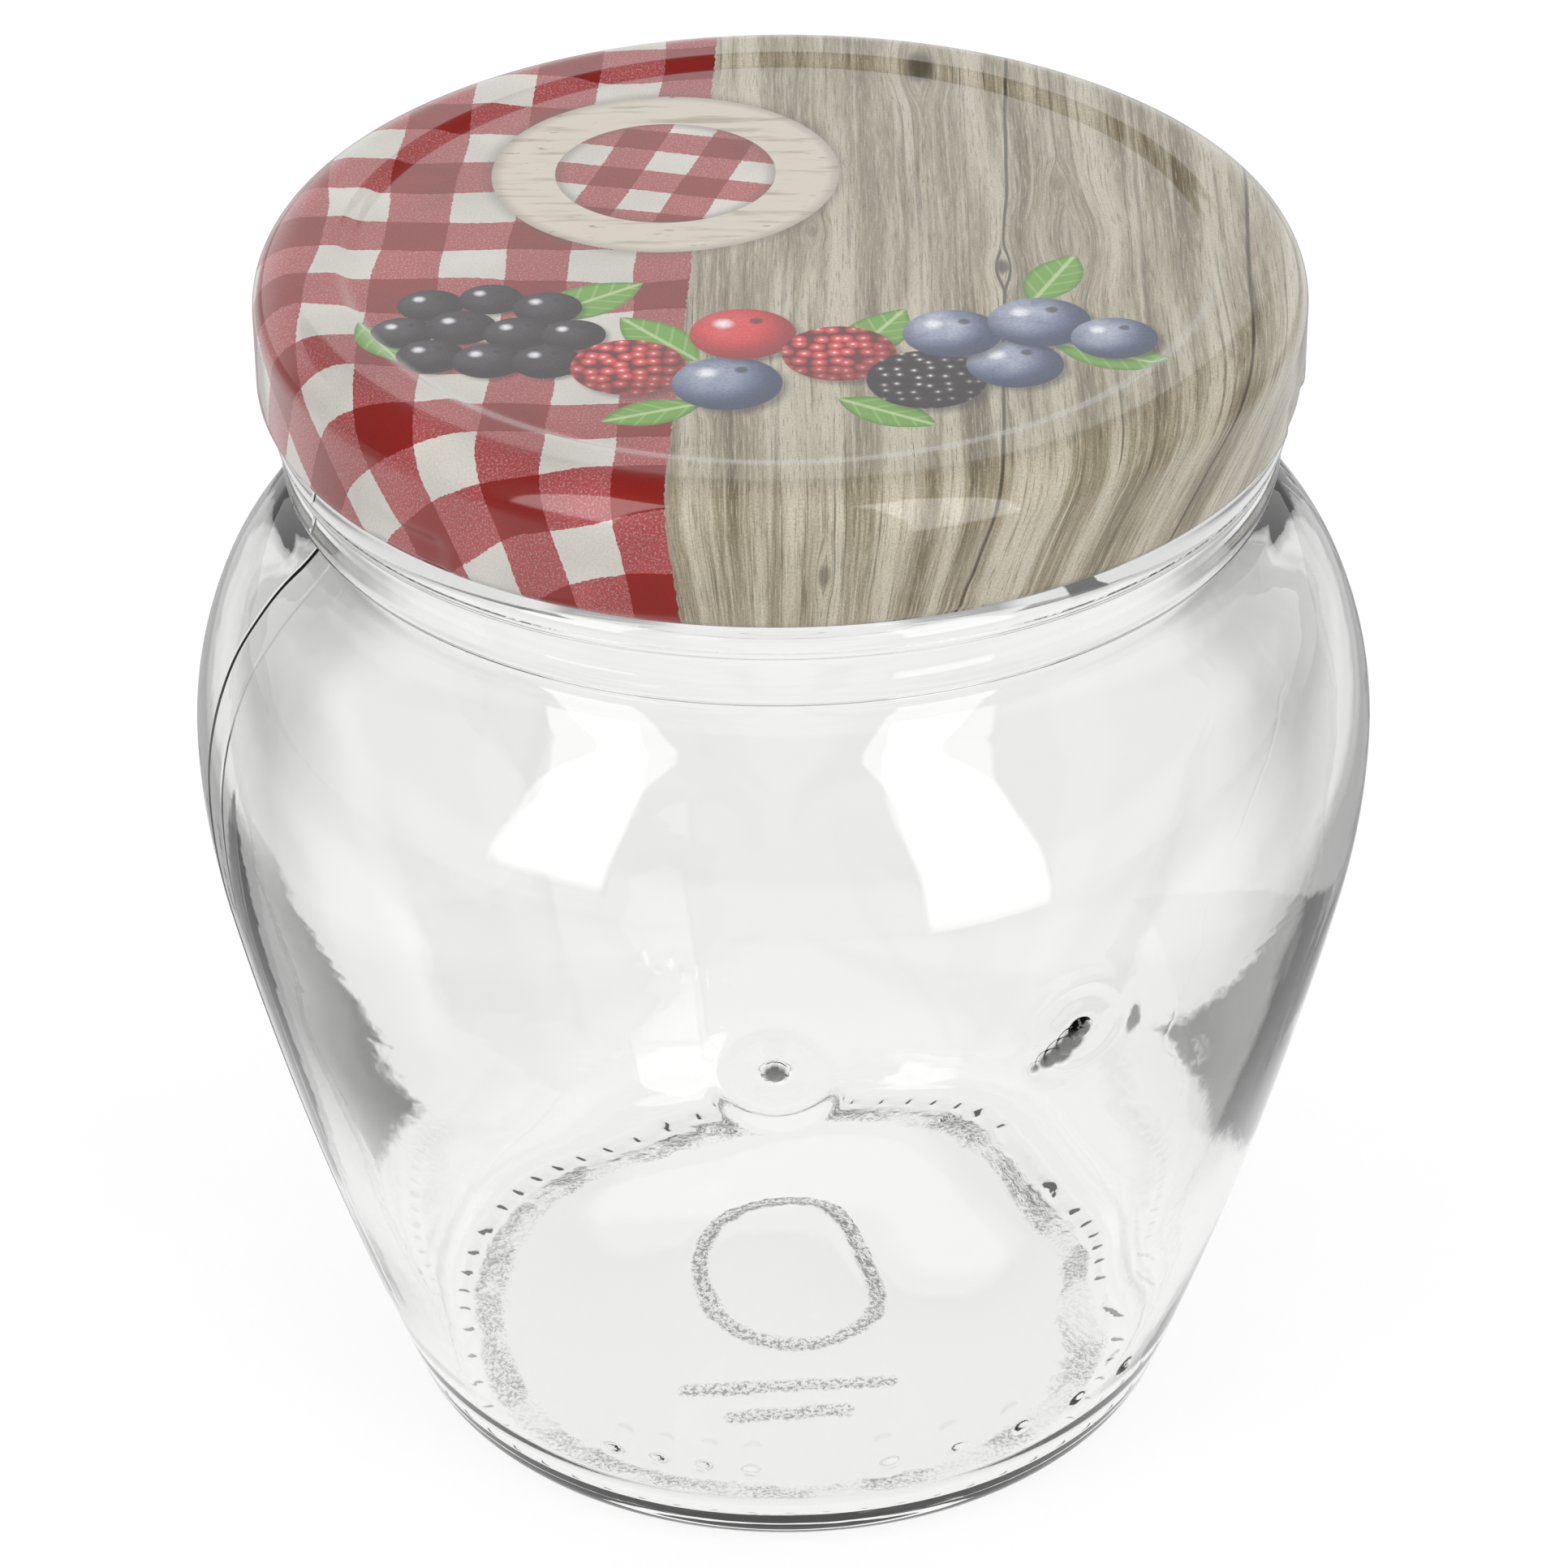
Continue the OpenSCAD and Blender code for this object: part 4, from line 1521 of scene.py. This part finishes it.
def make_floor(studio):
    """A round pale floor just under the jar. Most of its light is its own, so that it stays white
    where nothing shades it, and the rest is what the lamps give it, so that it shows the shadow."""
    turns = np.radians(even(FLOOR_CORNERS))
    ring = np.stack([np.cos(turns), np.sin(turns), np.zeros(FLOOR_CORNERS)], axis=1)
    places = np.concatenate([np.zeros((1, 3)), ring * studio.floor_r])
    places[:, 2] = FLOOR_Z
    j, k = round_ring(FLOOR_CORNERS)
    faces = np.stack([0 * j, j + 1, k + 1], axis=1)
    floor = make_mesh("floor", places, np.empty((0, 4), int), faces)
    material, tree, surface = bare_material("floor")
    place = add(tree, "TexCoord")["Object"]
    path = add(tree, "LightPath")
    tone = remap(noise(place, 40.0, 2.0), 0.3, 0.7, 0.93, 0.97)
    bent = maths("MAXIMUM", path["Is Glossy Ray"], path["Is Transmission Ray"])
    strength = choose(bent, FLOOR_WHITE, floor_seen(place, path))
    strength = choose(path["Is Diffuse Ray"], strength, FLOOR_BOUNCE)
    own = add(tree, "Emission", {"Color": (1, 1, 1, 1), "Strength": strength})[0]
    lit = add(tree, "BsdfDiffuse", {"Color": combine(tone, tone, tone)})[0]
    share = maths("MAXIMUM", bent, OWN_LIGHT)
    put(add(tree, "MixShader", {0: share, 1: lit, 2: own})[0], surface)
    floor.data.materials.append(material)


# Parts of the direction of sight: upwards for heights, and backwards for the sweep's sides.
BACKDROP_TOP = math.sin(math.radians(29.0))
SWEEP_SIDE = 0.45
LOW_WALL = (0.36, 0.2, 0.0, 0.8)


def make_world(studio):
    """The room: white to the camera. Gloss and clear glass see a white sweep behind the jar up to
    its top edge and a dark room past it, glass sees a pale wall low down all round as well, and
    everything else gets a plain soft light."""
    world = bpy.data.worlds.new("room")
    bpy.context.scene.world = world
    world.use_nodes = True
    tree = world.node_tree
    ground = next(n for n in tree.nodes if n.type == "BACKGROUND")
    _, y, z = split(add(tree, "TexCoord")["Generated"])
    below = remap(z, BACKDROP_TOP + 0.03, BACKDROP_TOP - 0.01)
    behind = remap(y, SWEEP_SIDE - 0.15, SWEEP_SIDE + 0.15)
    sweep = remap(below * behind, 0, 1, studio.dark, 1.0, kind="LINEAR")
    path = add(tree, "LightPath")
    through = path["Is Transmission Ray"]
    sweep = maths("MAXIMUM", sweep, remap(z, *LOW_WALL) * through)
    strength = choose(maths("MAXIMUM", path["Is Glossy Ray"], through), studio.room, sweep)
    put((1, 1, 1, 1), ground.inputs["Color"])
    put(choose(path["Is Camera Ray"], strength, 1.0), ground.inputs["Strength"])


# Operators


class JAR_OT_glass(bpy.types.Operator):
    """Builds the glass jar"""

    bl_idname = "preserve_jar.glass"
    bl_label = "Glass jar"

    def execute(self, context):
        glass = build_glass(settings().jar)
        glass.data.materials.append(clear_glass(settings().glass))
        glass.data.materials.append(frosted_base(settings().glass))
        faces = glass.data.polygons
        facing = read(faces, "normal", 3, np.float32)[:, 2]
        height = read(faces, "center", 3, np.float32)[:, 2]
        under = (facing < FACING_DOWN) & (height < UNDER_BELOW)
        faces.foreach_set("material_index", under.astype(np.int32))
        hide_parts("glass_jar")
        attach(glass, "jar")
        return {"FINISHED"}


class JAR_OT_lid(bpy.types.Operator):
    """Builds the printed lid"""

    bl_idname = "preserve_jar.lid"
    bl_label = "Printed lid"

    def execute(self, context):
        lid, printed = build_lid(settings().lid)
        lid.data.materials.append(printed_tin(settings().print))
        lid.data.materials.append(inner_enamel(settings().glass))
        first_corner = read(lid.data.polygons, "loop_start")[:, 0]
        inside = read(lid.data.loops, "vertex_index")[first_corner, 0] > printed
        lid.data.polygons.foreach_set("material_index", inside.astype(np.int32))
        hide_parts("lid_shell")
        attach(lid, "lid")
        return {"FINISHED"}


class JAR_OT_seal(bpy.types.Operator):
    """Gives the sealing ring its soft finish"""

    bl_idname = "preserve_jar.seal"
    bl_label = "Sealing ring"

    def execute(self, context):
        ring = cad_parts["sealing_ring"]
        ring.data.materials.clear()
        ring.data.materials.append(soft_compound(settings().glass))
        return {"FINISHED"}


class JAR_OT_stage(bpy.types.Operator):
    """Sets up the floor, the room, the lamps and the camera"""

    bl_idname = "preserve_jar.stage"
    bl_label = "Stage"

    def execute(self, context):
        studio = settings().studio
        make_camera(studio)
        make_windows(studio)
        make_floor(studio)
        make_world(studio)
        bpy.context.scene.view_settings.view_transform = "Standard"
        return {"FINISHED"}


class PreserveJar(bpy.types.PropertyGroup):
    """All settings of the jar and its studio."""

    jar: PointerProperty(type=JarShape)
    lid: PointerProperty(type=LidShape)
    print: PointerProperty(type=PrintLook)
    glass: PointerProperty(type=GlassLook)
    studio: PointerProperty(type=Studio)


OPERATORS = (JAR_OT_stage, JAR_OT_glass, JAR_OT_lid, JAR_OT_seal)


class JAR_PT_panel(bpy.types.Panel):
    """Lists the pieces in the 3D view's sidebar"""

    bl_idname = "JAR_PT_panel"
    bl_label = "Preserve jar"
    bl_space_type = "VIEW_3D"
    bl_region_type = "UI"
    bl_category = "Preserve jar"

    def draw(self, context):
        for operator in OPERATORS:
            self.layout.operator(operator.bl_idname)
        for part in ("jar", "lid", "print", "glass", "studio"):
            box = self.layout.box()
            box.label(text=part.capitalize())
            values = getattr(settings(), part)
            for name in values.bl_rna.properties.keys():
                if name not in ("rna_type", "name"):
                    box.prop(values, name)


CLASSES = (JarShape, LidShape, PrintLook, GlassLook, Studio, PreserveJar, *OPERATORS, JAR_PT_panel)


def register():
    """Registers the classes and hangs the settings on the scene."""
    for one in CLASSES:
        bpy.utils.register_class(one)
    bpy.types.Scene.preserve_jar = PointerProperty(type=PreserveJar)


def unregister():
    """Takes the settings and the classes away again."""
    del bpy.types.Scene.preserve_jar
    for one in reversed(CLASSES):
        bpy.utils.unregister_class(one)


def main():
    """Registers the add-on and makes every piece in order."""
    register()
    bpy.ops.preserve_jar.stage()
    bpy.ops.preserve_jar.glass()
    bpy.ops.preserve_jar.lid()
    bpy.ops.preserve_jar.seal()


if __name__ == "__main__":
    main()
